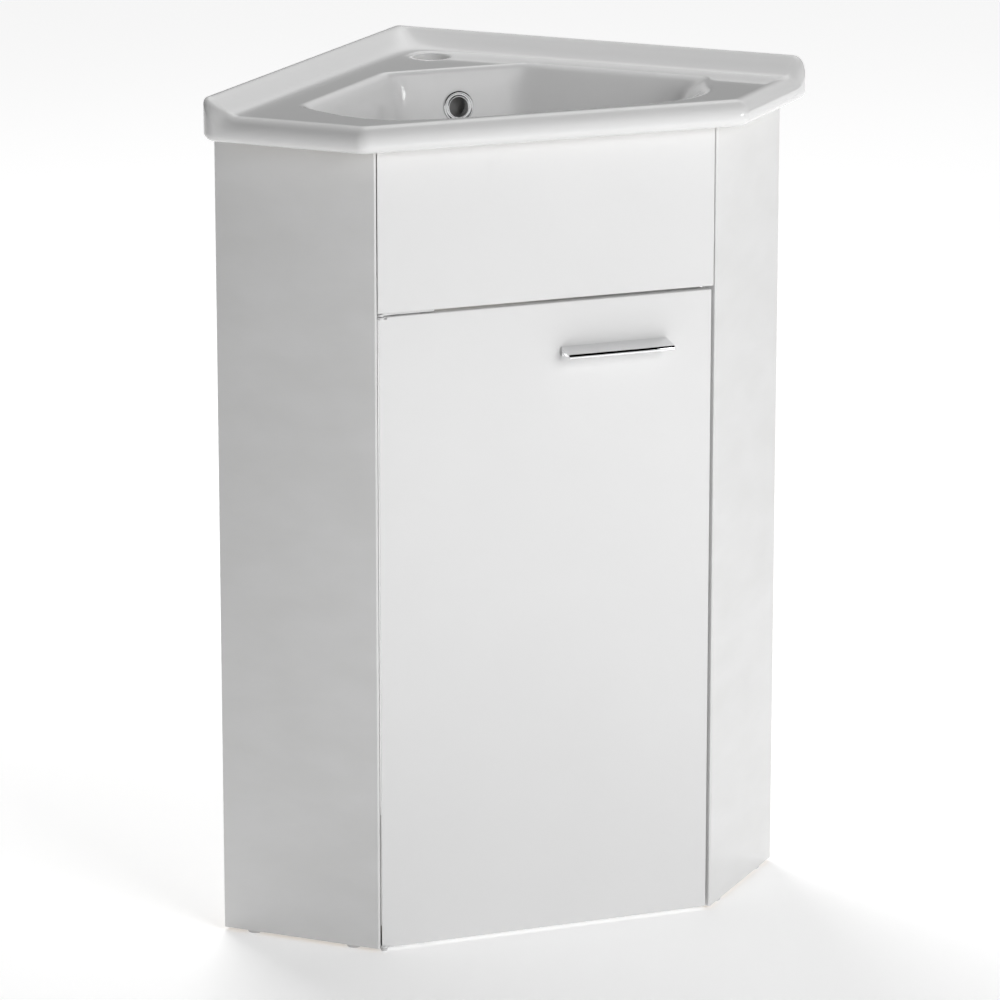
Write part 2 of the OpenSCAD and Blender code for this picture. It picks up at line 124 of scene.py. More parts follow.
def quarter_up(radius: float, steps: int) -> tuple[Array, Array]:
    """The same quarter round from its upright tangent, without that first point."""
    insets, drops = quarter(radius, steps)
    return insets[::-1][1:], drops[::-1][1:]


def steps_to(first: Array | float, last: Array | float, shares: Iterable) -> list[Array | float]:
    """Values at shares of the way from a first to a last one."""
    return [first + (last - first) * share for share in shares]


def bent_polygon(corners: Array, radii: Array, inset: float, steps: int) -> Array:
    """Outline of any simple polygon with rounded corners, drawn in by an inset.

    Formula: each corner's centre lies radius times (n1 + n2) / (1 + n1.n2) inside the corner,
    where n1 and n2 are the outward normals of its two edges. The arc has radius less inset, and
    its normal turns evenly from n1 to n2. Where the outline turns the other way the centre lies
    outside, the arc runs backwards, and its radius grows by the inset.

    Args:
        corners: V x 2 corners, anticlockwise.
        radii: V corner radii.
        inset: How far the outline is drawn in.
        steps: Points on each arc.

    Returns:
        V * steps points.
    """
    after = np.roll(corners, -1, 0) - corners
    after /= np.linalg.norm(after, axis=1, keepdims=True)
    out_after = np.stack([after[:, 1], -after[:, 0]], 1)
    out_before = np.roll(out_after, 1, 0)
    before = np.roll(after, 1, 0)
    bend = np.sign(before[:, 0] * after[:, 1] - before[:, 1] * after[:, 0])
    share = 1 + (out_before * out_after).sum(1, keepdims=True)
    centre = corners - (bend * radii)[:, None] * (out_before + out_after) / share
    start = np.arctan2(out_before[:, 1], out_before[:, 0])
    end = np.arctan2(out_after[:, 1], out_after[:, 0])
    sweep = np.mod(end - start + math.pi, TURN) - math.pi
    angle = start[:, None] + sweep[:, None] * np.linspace(0, 1, steps)[None]
    reach = (bend * radii - inset)[:, None, None]
    arcs = np.stack([np.cos(angle), np.sin(angle)], 2) * reach
    return (centre[:, None] + arcs).reshape(-1, 2)


def rounded_polygon(corners: Array, radii: Array, inset: float, steps: int) -> Array:
    """The same for a convex polygon, with every radius raised to just above the inset."""
    return bent_polygon(corners, np.maximum(radii, inset + LEAST_ARC), inset, steps)


def dense(outline: Array, count: int) -> Array:
    """Closed outline resampled at even lengths along its own line.

    Args:
        outline: Points of the outline, in order.
        count: Number of new points.

    Returns:
        Count x 2 points.
    """
    closed = np.vstack([outline, outline[:1]])
    run = np.concatenate([[0], np.cumsum(np.linalg.norm(np.diff(closed, axis=0), axis=1))])
    at = np.linspace(0, run[-1], count, endpoint=False)
    return np.stack([np.interp(at, run, closed[:, i]) for i in (0, 1)], 1)


def ray_lengths(outline: Array, centre: Array, rays: Array) -> Array:
    """Distance from a centre to an outline along rays.

    Formula: the outline in polar form around the centre, read off at each ray's angle.

    Args:
        outline: Closed outline around the centre.
        centre: Start of the rays.
        rays: Angles of the rays.

    Returns:
        One distance for each ray.
    """
    off = dense(outline, OUTLINE_POINTS) - centre
    angle = np.mod(np.arctan2(off[:, 1], off[:, 0]), TURN)
    order = np.argsort(angle)
    return np.interp(np.mod(rays, TURN), angle[order], np.hypot(*off.T)[order], period=TURN)


def ring_faces(rows: int, columns: int, closed: bool = False) -> Array:
    """Quads between rings of points, each ring joined end to start.

    Args:
        rows: Number of rings.
        columns: Points in a ring.
        closed: Whether the last ring joins the first.

    Returns:
        Face corners as a rows x columns x 4 block.
    """
    row = np.arange(rows if closed else rows - 1)[:, None]
    col = np.arange(columns)[None]
    up, right = (row + 1) % rows, (col + 1) % columns
    return np.stack([row * columns + col, row * columns + right,
                     up * columns + right, up * columns + col], 2)


@dataclass
class Skin:
    """Points and faces gathered for one closed mesh."""

    points: list[Array] = field(default_factory=list)
    faces: list[Array] = field(default_factory=list)
    marks: list[Array] = field(default_factory=list)
    worn: list[Array] = field(default_factory=list)
    count: int = 0

    def add_points(self, points: Array, worn: float | Array = 0.0) -> Array:
        """Adds points.

        Args:
            points: Any block of xyz points, in millimetres.
            worn: How much of an edge each point is, 0 to 1.

        Returns:
            The points' numbers, in the block's own shape.
        """
        flat = points.reshape(-1, 3)
        numbers = np.arange(len(flat)) + self.count
        self.points.append(flat)
        self.worn.append(np.broadcast_to(np.asarray(worn, float), points.shape[:-1]).reshape(-1))
        self.count += len(flat)
        return numbers.reshape(points.shape[:-1])

    def add_faces(self, faces: Array, mark: int | Array = 0) -> None:
        """Adds faces that name points by number, with the number of their material.

        Args:
            faces: Any block of faces of three or four corners.
            mark: Material number, for all or for each.
        """
        flat = faces.reshape(-1, faces.shape[-1])
        self.faces.append(flat)
        self.marks.append(np.broadcast_to(np.asarray(mark, int), faces.shape[:-1]).reshape(-1))

    def add_rings(self, rings: Array, caps: bool = True, closed: bool = False,
                  worn: float | Array = 0.0) -> Array:
        """Adds a skin through rings of equal length, with a pole in each end if asked.

        Args:
            rings: K x N x 3 points.
            caps: Whether both ends are closed by a fan around a pole.
            closed: Whether the last ring joins the first.
            worn: Edge share of each ring or point.

        Returns:
            The K x N numbers of the points.
        """
        worn = np.asarray(worn, float)
        numbers = self.add_points(rings, worn[:, None] if worn.ndim == 1 else worn)
        rows, columns = numbers.shape
        self.add_faces(ring_faces(rows, columns, closed) + numbers[0, 0])
        if caps and not closed:
            for ring, turned in ((0, True), (-1, False)):
                self.cap(rings[ring], numbers[ring], turned)
        return numbers

    def cap(self, ring: Array, numbers: Array, turned: bool, mark: int = 0) -> None:
        """Closes a ring by a fan of triangles around its middle.

        Args:
            ring: Points of the ring.
            numbers: Their numbers.
            turned: Turns the faces over.
            mark: Material number.
        """
        pole = self.add_points(ring.mean(0)[None])
        after = np.roll(numbers, -1)
        middle = np.full_like(numbers, pole[0])
        fan = np.stack([numbers, after, middle], 1)
        self.add_faces(fan[:, ::-1] if turned else fan, mark)

    def piece(self, name: str, body: Body, finishes: list["Finish"],
              nodes: tuple[str, ...], sharp: float = 50.0) -> Object:
        """Makes the mesh, dresses it and sets it on its body.

        The faces are turned together so that the enclosed volume, a third of the sum of each
        triangle's plane offset, is positive.

        Args:
            name: Name of the piece.
            body: Body that it rides on.
            finishes: Finishes, in the order of the faces' material numbers.
            nodes: Solids that it stands for.
            sharp: Angle in degrees above which an edge stays sharp.

        Returns:
            The new object.
        """
        points = np.concatenate(self.points)
        first = np.concatenate([f[:, :3] for f in self.faces])
        rest = np.concatenate([f[:, [0, 2, 3]] for f in self.faces if f.shape[1] == 4]
                              or [np.zeros((0, 3), int)])
        a, b, c = (points[np.concatenate([first, rest])[:, i]] for i in range(3))
        turned = (a * np.cross(b, c)).sum() < 0
        faces = [f[:, ::-1] if turned else f for f in self.faces]
        mesh = new_mesh(name, points, faces)
        mesh.polygons.foreach_set("material_index", np.concatenate(self.marks).astype(np.int32))
        layer = mesh.attributes.new("edge_share", "FLOAT", "POINT")
        layer.data.foreach_set("value", np.concatenate(self.worn).astype(np.float32))
        for finish in finishes:
            mesh.materials.append(finish.material())
        mesh.shade_smooth()
        mesh.set_sharp_from_angle(angle=math.radians(sharp))
        mesh.validate()
        mesh.update()
        obj = add_object(name, mesh)
        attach(obj, body.value)
        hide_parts(*nodes)
        LOG.info("%s: %d faces on %s", name, len(mesh.polygons), body.value)
        return obj


def new_mesh(name: str, points: Array, faces: list[Array]) -> Mesh:
    """Makes a mesh of points in millimetres and blocks of faces.

    Args:
        name: Name of the mesh.
        points: K x 3 points.
        faces: Blocks of faces, each face naming its corners by number.

    Returns:
        The mesh, not yet on an object.
    """
    mesh = bpy.data.meshes.new(name)
    mesh.from_pydata((points * MM).tolist(), [], [f for block in faces for f in block.tolist()])
    return mesh


def add_object(name: str, data: Mesh | bpy.types.Light | bpy.types.Camera) -> Object:
    """Makes an object and puts it in the scene.

    Args:
        name: Name of the object.
        data: Mesh, lamp or camera that it shows.

    Returns:
        The object.
    """
    obj = bpy.data.objects.new(name, data)
    bpy.context.scene.collection.objects.link(obj)
    return obj


# ---------------------------------------------------------------- finishes


@dataclass
class Nodes:
    """Node tree, with short ways to add nodes and join them."""

    tree: Tree

    def node(self, kind: str, **values: object) -> Node:
        """Adds a node and sets its properties, or its inputs where a name is an input's.

        Args:
            kind: Type of the node.
            values: Properties and inputs by their names in lower case.

        Returns:
            The node.
        """
        new = self.tree.nodes.new(kind)
        for key, value in values.items():
            socket = input_named(new, key)
            if socket is not None and not hasattr(new, key):
                socket.default_value = value
            else:
                setattr(new, key, value)
        return new

    def link(self, source: Socket, target: Socket) -> None:
        """Joins two sockets."""
        self.tree.links.new(source, target)

    def between(self, value: Socket, low: float, high: float, start: float = 0.3,
                end: float = 0.7, curve: str = "LINEAR") -> Socket:
        """Maps a number from start..end to low..high, and holds it outside.

        Args:
            value: Number to map.
            low: Result at the start.
            high: Result at the end.
            start: Number that gives low.
            end: Number that gives high.
            curve: Way from low to high, as the node names it.

        Returns:
            The mapped number.
        """
        new = self.node("ShaderNodeMapRange", clamp=True, interpolation_type=curve)
        for key, number in (("From Min", start), ("From Max", end),
                            ("To Min", low), ("To Max", high)):
            new.inputs[key].default_value = number
        self.link(value, new.inputs["Value"])
        return new.outputs["Result"]

    def along(self, where: Socket, direction: Triple) -> Socket:
        """How far a vector goes along a direction.

        Args:
            where: The vector.
            direction: Unit vector of the direction.

        Returns:
            The dot product of the two.
        """
        new = self.node("ShaderNodeVectorMath", operation="DOT_PRODUCT")
        new.inputs[1].default_value = direction
        self.link(where, new.inputs[0])
        return new.outputs["Value"]

    def combine(self, operation: str, *numbers: Socket) -> Socket:
        """Result of an arithmetic operation on one or two numbers.

        Args:
            operation: Operation, as the node names it.
            numbers: The numbers, in order.

        Returns:
            The result.
        """
        new = self.node("ShaderNodeMath", operation=operation)
        for source, target in zip(numbers, new.inputs):
            self.link(source, target)
        return new.outputs[0]


def input_named(node: Node, key: str) -> Socket | None:
    """A node's input by its name in lower case, with underscores for spaces."""
    return next((s for s in node.inputs if s.name.lower().replace(" ", "_") == key), None)


@dataclass
class Shader(Nodes):
    """Node tree of one material, with short ways to add what the finishes share."""

    tree: Tree = field(init=False)
    name: str
    surface: Node = field(init=False)
    made: Material = field(init=False)

    def __post_init__(self) -> None:
        """Starts a material with one Principled shader."""
        self.made = bpy.data.materials.new(self.name)
        self.made.use_nodes = True
        self.tree = self.made.node_tree
        self.surface = self.tree.nodes["Principled BSDF"]

    def place(self, scale: Triple = (1, 1, 1), turn: Triple = (0, 0, 0)) -> Socket:
        """Object coordinates, stretched and turned.

        Args:
            scale: Factor along each axis.
            turn: Turn around each axis, in radians.

        Returns:
            The place in metres, as a vector.
        """
        where = self.node("ShaderNodeTexCoord")
        mapping = self.node("ShaderNodeMapping")
        mapping.inputs["Scale"].default_value = scale
        mapping.inputs["Rotation"].default_value = turn
        self.link(where.outputs["Object"], mapping.inputs["Vector"])
        return mapping.outputs["Vector"]

    def noise(self, where: Socket, scale: float, detail: float = 3.0,
              rough: float = 0.5) -> Socket:
        """Soft noise of a scale per metre, as a number from 0 to 1.

        Args:
            where: Place that it is read at.
            scale: Waves per metre.
            detail: Number of finer layers.
            rough: Share of each finer layer.

        Returns:
            The noise.
        """
        new = self.node("ShaderNodeTexNoise", scale=scale, detail=detail, roughness=rough)
        self.link(where, new.inputs["Vector"])
        return new.outputs[0]

    def cells(self, where: Socket, scale: float) -> Node:
        """Cell pattern of a scale per metre.

        Args:
            where: Place that it is read at.
            scale: Cells per metre.

        Returns:
            The node, which gives distance and colour of a cell.
        """
        new = self.node("ShaderNodeTexVoronoi", scale=scale)
        self.link(where, new.inputs["Vector"])
        return new

    def blend(self, share: Socket, first: Socket | Triple, second: Socket | Triple) -> Socket:
        """Mixes two colours, each a socket or a tone.

        Args:
            share: Share of the second colour.
            first: Colour at a share of 0.
            second: Colour at a share of 1.

        Returns:
            The mixed colour.
        """
        new = self.node("ShaderNodeMix", data_type="RGBA")
        self.link(share, new.inputs[MIX_SHARE])
        for value, socket in zip((first, second), MIX_COLOURS):
            if isinstance(value, Socket):
                self.link(value, new.inputs[socket])
            else:
                new.inputs[socket].default_value = (*value, 1.0)
        return new.outputs[MIX_RESULT]

    def drift(self, value: Socket, tone: Triple, darkest: float | Triple) -> Socket:
        """A tone that drifts with a noise towards a share of itself."""
        return self.blend(self.between(value, 0.0, 1.0), tone, tuple(np.multiply(tone, darkest)))

    def edge(self, low: float, high: float) -> Socket:
        """The piece's own edge share, from low on faces to high on edges."""
        new = self.node("ShaderNodeAttribute", attribute_name="edge_share")
        return self.between(new.outputs["Fac"], low, high, 0.0, 1.0)

    def bump(self, height: Socket, depth_mm: float, below: Socket | None = None) -> Socket:
        """Relief of a depth in millimetres, on top of another one if given.

        Args:
            height: Height of the relief, 0 to 1.
            depth_mm: Depth of a height of 1.
            below: Normal of the relief that it lies on.

        Returns:
            The normal.
        """
        new = self.node("ShaderNodeBump", strength=1.0, distance=depth_mm * MM)
        self.link(height, new.inputs["Height"])
        if below is not None:
            self.link(below, new.inputs["Normal"])
        return new.outputs["Normal"]

    def set(self, **values: object) -> None:
        """Sets or links the Principled shader's inputs by their names in lower case.

        Args:
            values: Sockets, tones or numbers by the names of the inputs.
        """
        for key, value in values.items():
            socket = input_named(self.surface, key)
            if isinstance(value, Socket):
                self.link(value, socket)
            elif isinstance(value, tuple):
                socket.default_value = (*value, 1.0)
            else:
                socket.default_value = value


MADE: dict[str, Material] = {}


@dataclass(frozen=True)
class Finish:
    """A finish, which makes its material once. Its noise scales are per metre."""

    name: str

    def material(self) -> Material:
        """The finish's material, made the first time it is asked for.

        Returns:
            The material.
        """
        if self.name not in MADE:
            shader = Shader(self.name)
            self.dress(shader)
            MADE[self.name] = shader.made
        return MADE[self.name]

    def dress(self, shader: Shader) -> None:
        """Builds the nodes."""
        raise NotImplementedError


@dataclass(frozen=True)
class Glaze(Finish):
    """Fired white glaze: deep gloss over a faint ripple, slightly thinner on edges."""

    tone: Triple = (0.80, 0.80, 0.80)
    thin: Triple = (0.765, 0.765, 0.76)
    pit: Triple = (0.62, 0.61, 0.6)
    ripple_mm: float = 0.035
    fine_mm: float = 0.00105
    cloud: float = 9.0
    ripple: float = 32.0
    fine: float = 260.0
    pits: float = 420.0

    def dress(self, shader: Shader) -> None:
        """Cloudy tone, ripples of 30 and 4 mm, tiny pits and a clear top layer.

        Args:
            shader: Shader of the material that is being made.
        """
        where = shader.place()
        cloud = shader.noise(where, self.cloud, 2.0)
        tone = shader.drift(cloud, self.tone, SLIGHT)
        broad = shader.bump(shader.noise(where, self.ripple, 1.0), self.ripple_mm)
        pits = shader.cells(where, self.pits).outputs["Distance"]
        speck = shader.combine("MULTIPLY", shader.between(pits, 1.0, 0.0, 0.02, 0.07),
                               shader.between(cloud, 0.0, 0.5))
        shader.set(base_color=shader.blend(
                       speck, shader.blend(shader.edge(0.0, 0.7), tone, self.thin), self.pit),
                   roughness=shader.between(cloud, 0.07, 0.12), ior=1.5, specular_ior_level=0.5,
                   coat_weight=0.6, coat_roughness=0.03,
                   normal=shader.bump(shader.noise(where, self.fine, 2.0), self.fine_mm, broad))


@dataclass(frozen=True)
class Biscuit(Finish):
    """Unglazed fired clay under the rim; its dark grey variant, which closes the overflow bore, is
    painted shade of the deep duct.
    """

    tone: Triple = (0.66, 0.63, 0.58)
    grains: Triple = (0.45, 0.42, 0.38)
    stain: Triple = (0.93, 0.9, 0.86)
    relief_mm: float = 0.15
    grain: float = 900.0
    stains: float = 14.0

    def dress(self, shader: Shader) -> None:
        """Warm matt clay with grains, stains and a dry rough relief.

        Args:
            shader: Shader of the material that is being made.
        """
        where = shader.place()
        grain = shader.noise(where, self.grain, 4.0, 0.7)
        tone = shader.drift(shader.noise(where, self.stains, 4.0), self.tone, self.stain)
        shader.set(base_color=shader.blend(shader.between(grain, 0.0, 0.35), tone, self.grains),
                   roughness=shader.between(grain, 0.75, 0.95),
                   normal=shader.bump(grain, self.relief_mm))


@dataclass(frozen=True)
class Lacquer(Finish):
    """White lacquered board front: satin gloss with a very fine orange peel."""

    tone: Triple = (0.80, 0.80, 0.80)
    worn: Triple = (0.70, 0.70, 0.69)
    gloss: float = 0.24
    wave_mm: float = 0.008
    peel_mm: float = 0.0015
    wave: float = 8.0
    peel: float = 520.0
    wiping: float = 14.0

    def dress(self, shader: Shader) -> None:
        """Tone drifts by 1.5 percent over 12 cm, edges are duller, wiping marks vary the gloss.

        Args:
            shader: Shader of the material that is being made.
        """
        where = shader.place()
        wave = shader.noise(where, self.wave, 2.0)
        wiped = shader.noise(shader.place((1.0, 1.0, 2.2), (0.0, 0.5, 0.0)), self.wiping)
        rub = shader.combine("MULTIPLY", shader.edge(0.0, 0.8), shader.between(wiped, 0.2, 1.0))
        relief = shader.bump(wave, self.wave_mm)
        shader.set(base_color=shader.blend(rub, shader.drift(wave, self.tone, SLIGHT), self.worn),
                   roughness=shader.between(wiped, self.gloss - 0.01, self.gloss + 0.02),
                   coat_weight=0.35, coat_roughness=0.12,
                   normal=shader.bump(shader.noise(where, self.peel, 2.0), self.peel_mm, relief))


@dataclass(frozen=True)
class Melamine(Finish):
    """White faced board with a pearl texture, and raw chips where its edge isn't banded.

    The across field is the direction through the board's thickness.
    """

    across: Triple = (0.0, 0.0, 1.0)
    tone: Triple = (0.78, 0.78, 0.77)
    chip_tones: tuple[Triple, Triple, Triple] = ((0.36, 0.28, 0.2), (0.55, 0.46, 0.36),
                                           (0.64, 0.56, 0.45))
    pearl_mm: float = 0.012
    raw_mm: float = 0.25
    chips: float = 520.0
    dust: float = 1400.0
    pearl: float = 700.0
    cloud: float = 10.0

    def dress(self, shader: Shader) -> None:
        """Faces along the thickness are white, the others show wood chips in glue.

        Args:
            shader: Shader of the material that is being made.
        """
        where = shader.place()
        facing = shader.along(shader.node("ShaderNodeTexCoord").outputs["Normal"], self.across)
        raw = shader.between(shader.combine("ABSOLUTE", facing), 1.0, 0.0, 0.6, 0.8)
        chips = shader.cells(shader.place((1.0, 1.0, 1.6)), self.chips)
        dust = shader.noise(where, self.dust, 3.0, 0.7)
        dark, middle, light = self.chip_tones
        apart = shader.node("ShaderNodeSeparateColor")
        shader.link(chips.outputs["Color"], apart.inputs["Color"])
        wood = shader.blend(shader.between(apart.outputs[0], 0.0, 0.6, 0.0, 1.0),
                            shader.blend(shader.between(dust, 0.0, 1.0), dark, middle), light)
        white = shader.drift(shader.noise(where, self.cloud), self.tone, 0.975)
        relief = shader.bump(shader.noise(where, self.pearl), self.pearl_mm)
        shader.set(base_color=shader.blend(raw, white, wood),
                   roughness=shader.between(raw, 0.42, 0.85, 0.0, 1.0),
                   normal=shader.bump(shader.combine("MULTIPLY", dust, raw), self.raw_mm, relief))


@dataclass(frozen=True)
class Softwood(Finish):
    """Planed softwood of the hidden blocks, with its grain upright."""

    light: Triple = (0.66, 0.47, 0.28)
    dark: Triple = (0.47, 0.29, 0.15)
    pore: Triple = (0.33, 0.2, 0.1)
    pore_mm: float = 0.08
    rings: float = 55.0
    pores: float = 1500.0

    def dress(self, shader: Shader) -> None:
        """Growth rings as bands stretched along the grain, with pores.

        Args:
            shader: Shader of the material that is being made.
        """
        rings = shader.node("ShaderNodeTexWave", wave_type="RINGS", rings_direction="Z",
                            scale=self.rings, distortion=6.0, detail=3.0, detail_scale=2.0)
        shader.link(shader.place((1.0, 1.0, 0.06)), rings.inputs["Vector"])
        pores = shader.noise(shader.place((1.0, 1.0, 0.03)), self.pores, 2.0)
        tone = shader.blend(shader.between(rings.outputs["Fac"], 0.0, 1.0, 0.1, 0.9),
                            self.light, self.dark)
        shader.set(base_color=shader.blend(shader.between(pores, 0.0, 0.4, 0.5, 0.8), tone,
                                           self.pore),
                   roughness=shader.between(pores, 0.5, 0.7),
                   normal=shader.bump(pores, self.pore_mm))


@dataclass(frozen=True)
class Metal(Finish):
    """Metal with a base tone, a gloss, brushed lines and a haze."""

    tone: Triple = (0.86, 0.86, 0.87)
    smooth: float = 0.05
    haze: float = 0.05
    lines: Triple = (1.0, 1.0, 1.0)
    scale: float = 60.0
    line_scale: float = 25.0
    relief_mm: float = 0.0004
    dull: Triple = (0.6, 0.6, 0.61)

    def dress(self, shader: Shader) -> None:
        """Smudges vary tone and gloss, fine lines along one direction give the relief.

        Args:
            shader: Shader of the material that is being made.
        """
        smudge = shader.noise(shader.place(), self.scale, 4.0, 0.6)
        line = shader.noise(shader.place(self.lines), self.scale * self.line_scale, 2.0)
        share = shader.between(smudge, 0.0, 0.25, 0.45, 0.75)
        worn = shader.blend(shader.edge(0.0, 0.25), self.tone, self.dull)
        shader.set(metallic=1.0, base_color=shader.blend(share, worn, self.dull),
                   roughness=shader.between(smudge, self.smooth, self.smooth + self.haze),
                   normal=shader.bump(line, self.relief_mm))


@dataclass(frozen=True)
class Plastic(Finish):
    """Moulded plastic or rubber with a fine spark-eroded grain."""

    tone: Triple = (0.75, 0.75, 0.74)
    rough: float = 0.4
    grain_mm: float = 0.02
    clear: float = 0.0
    grain: float = 2600.0
    cloud: float = 40.0

    def dress(self, shader: Shader) -> None:
        """A drift of tone, a grain of a third of a millimetre and dust in it.

        Args:
            shader: Shader of the material that is being made.
        """
        where = shader.place()
        grain = shader.noise(where, self.grain, 2.0)
        shader.set(base_color=shader.drift(shader.noise(where, self.cloud), self.tone, 0.9),
                   transmission_weight=self.clear, ior=1.46,
                   roughness=shader.between(grain, self.rough - 0.06, self.rough + 0.1),
                   normal=shader.bump(grain, self.grain_mm))


@dataclass(frozen=True)
class Floor(Finish):
    """Pale studio floor: matt, and lit from within, more so towards its glow direction.

    The glow rises from low to high along the direction, between the distances near and far
    from the middle, in metres.
    """

    tone: Triple = (0.86, 0.86, 0.86)
    low: float = 0.36
    high: float = 0.8
    direction: Triple = (0.365, 0.931, 0.0)
    near: float = -0.9
    far: float = 4.0
    cloud: float = 0.7

    def dress(self, shader: Shader) -> None:
        """Matt paper with a faint drift of tone.

        Args:
            shader: Shader of the material that is being made.
        """
        where = shader.place()
        glow = shader.between(shader.along(where, self.direction), self.low, self.high,
                              self.near, self.far, "SMOOTHSTEP")
        shader.set(base_color=shader.drift(shader.noise(where, self.cloud, 2.0), self.tone, SLIGHT),
                   roughness=0.9, specular_ior_level=0.1, emission_color=(1.0, 1.0, 1.0),
                   emission_strength=glow)


GLAZE = Glaze("glaze")
BISCUIT = Biscuit("biscuit_clay")
# dark grey tone that paints the shade deep inside the overflow duct, on the cap that closes its
# bore
DUCT_SHADE = Biscuit("duct_clay", tone=(0.27, 0.27, 0.27), grains=(0.17, 0.17, 0.17))
LACQUER = Lacquer("lacquer_front")
SIDE_FACE = Lacquer("lacquer_side", gloss=0.3)
RAW_EDGE = Melamine("raw_board_edge", across=(0.0, 0.0, 0.0))
CHROME = Metal("chrome", tone=(0.88, 0.885, 0.89), smooth=0.035, haze=0.05)
ZINC = Metal("zinc_plate", tone=(0.62, 0.63, 0.64), smooth=0.26, haze=0.16,
             lines=(1.0, 0.08, 1.0), scale=90.0, relief_mm=0.006, dull=(0.46, 0.45, 0.42))
SPRING = Metal("pin_steel", tone=(0.7, 0.7, 0.71), smooth=0.16, haze=0.1, scale=120.0,
               relief_mm=0.003)
COATED = Plastic("white_coated_steel", tone=(0.78, 0.78, 0.78), rough=0.38, grain_mm=0.006)
FERRITE = Plastic("ferrite", tone=(0.045, 0.045, 0.05), rough=0.5, grain_mm=0.03)
CATCH = Plastic("catch_plastic", tone=(0.76, 0.76, 0.75), rough=0.35)
GLIDE = Plastic("glide_plastic", tone=(0.70, 0.70, 0.71), rough=0.5)
RUBBER = Plastic("clear_rubber", tone=(0.86, 0.87, 0.86), rough=0.22, grain_mm=0.004, clear=0.75)


# ---------------------------------------------------------------- sizes


@dataclass(frozen=True)
class Plan:
    """Sizes that several pieces share, as the part's source has them."""

    glide: float = 3.0
    cabinet: float = 750.0
    wall_run: float = 396.0
    side: float = 160.0
    board: float = 16.0
    fascia: float = 150.0
    wall_clear: float = 2.0
    lip: float = 2.0
    head_gap: float = 3.0
    hinge_gap: float = 1.5
    handle_gap: float = 2.9
    fascia_gap: float = 0.8
    foot_gap: float = 0.6
    basin_run: float = 425.0
    basin_side: float = 163.0
    rim: float = 24.0

    @property
    def top(self) -> float:
        """Height of the cabinet's top edge."""
        return self.glide + self.cabinet

    @property
    def deck(self) -> float:
        """Height of the basin's deck."""
        return self.top + self.rim

    @property
    def fascia_foot(self) -> float:
        """Height of the fascia's lower edge."""
        return self.top - self.fascia

    @property
    def door_foot(self) -> float:
        """Height of the door's lower edge."""
        return self.glide + self.foot_gap

    @property
    def door_head(self) -> float:
        """Height of the door's upper edge."""
        return self.fascia_foot - self.head_gap

    @property
    def corner_y(self) -> float:
        """Place of the room corner."""
        return (self.basin_run + self.basin_side) * C45 / 2

    @property
    def span(self) -> float:
        """Distance from the room corner to the front plane."""
        return (self.wall_run + self.side) * C45

    @property
    def front_y(self) -> float:
        """Place of the front plane."""
        return self.corner_y - self.span

    @property
    def half_front(self) -> float:
        """Half the width of the front plane."""
        return (self.wall_run - self.side) * C45

    def from_walls(self, along: Array | list[float], off: Array | list[float]) -> Array:
        """Plan points from distances along the left wall and off it."""
        along, off = np.asarray(along, float), np.asarray(off, float)
        return np.stack([(off - along) * C45, self.corner_y - (along + off) * C45], -1)


PLAN = Plan()


# ---------------------------------------------------------------- basin


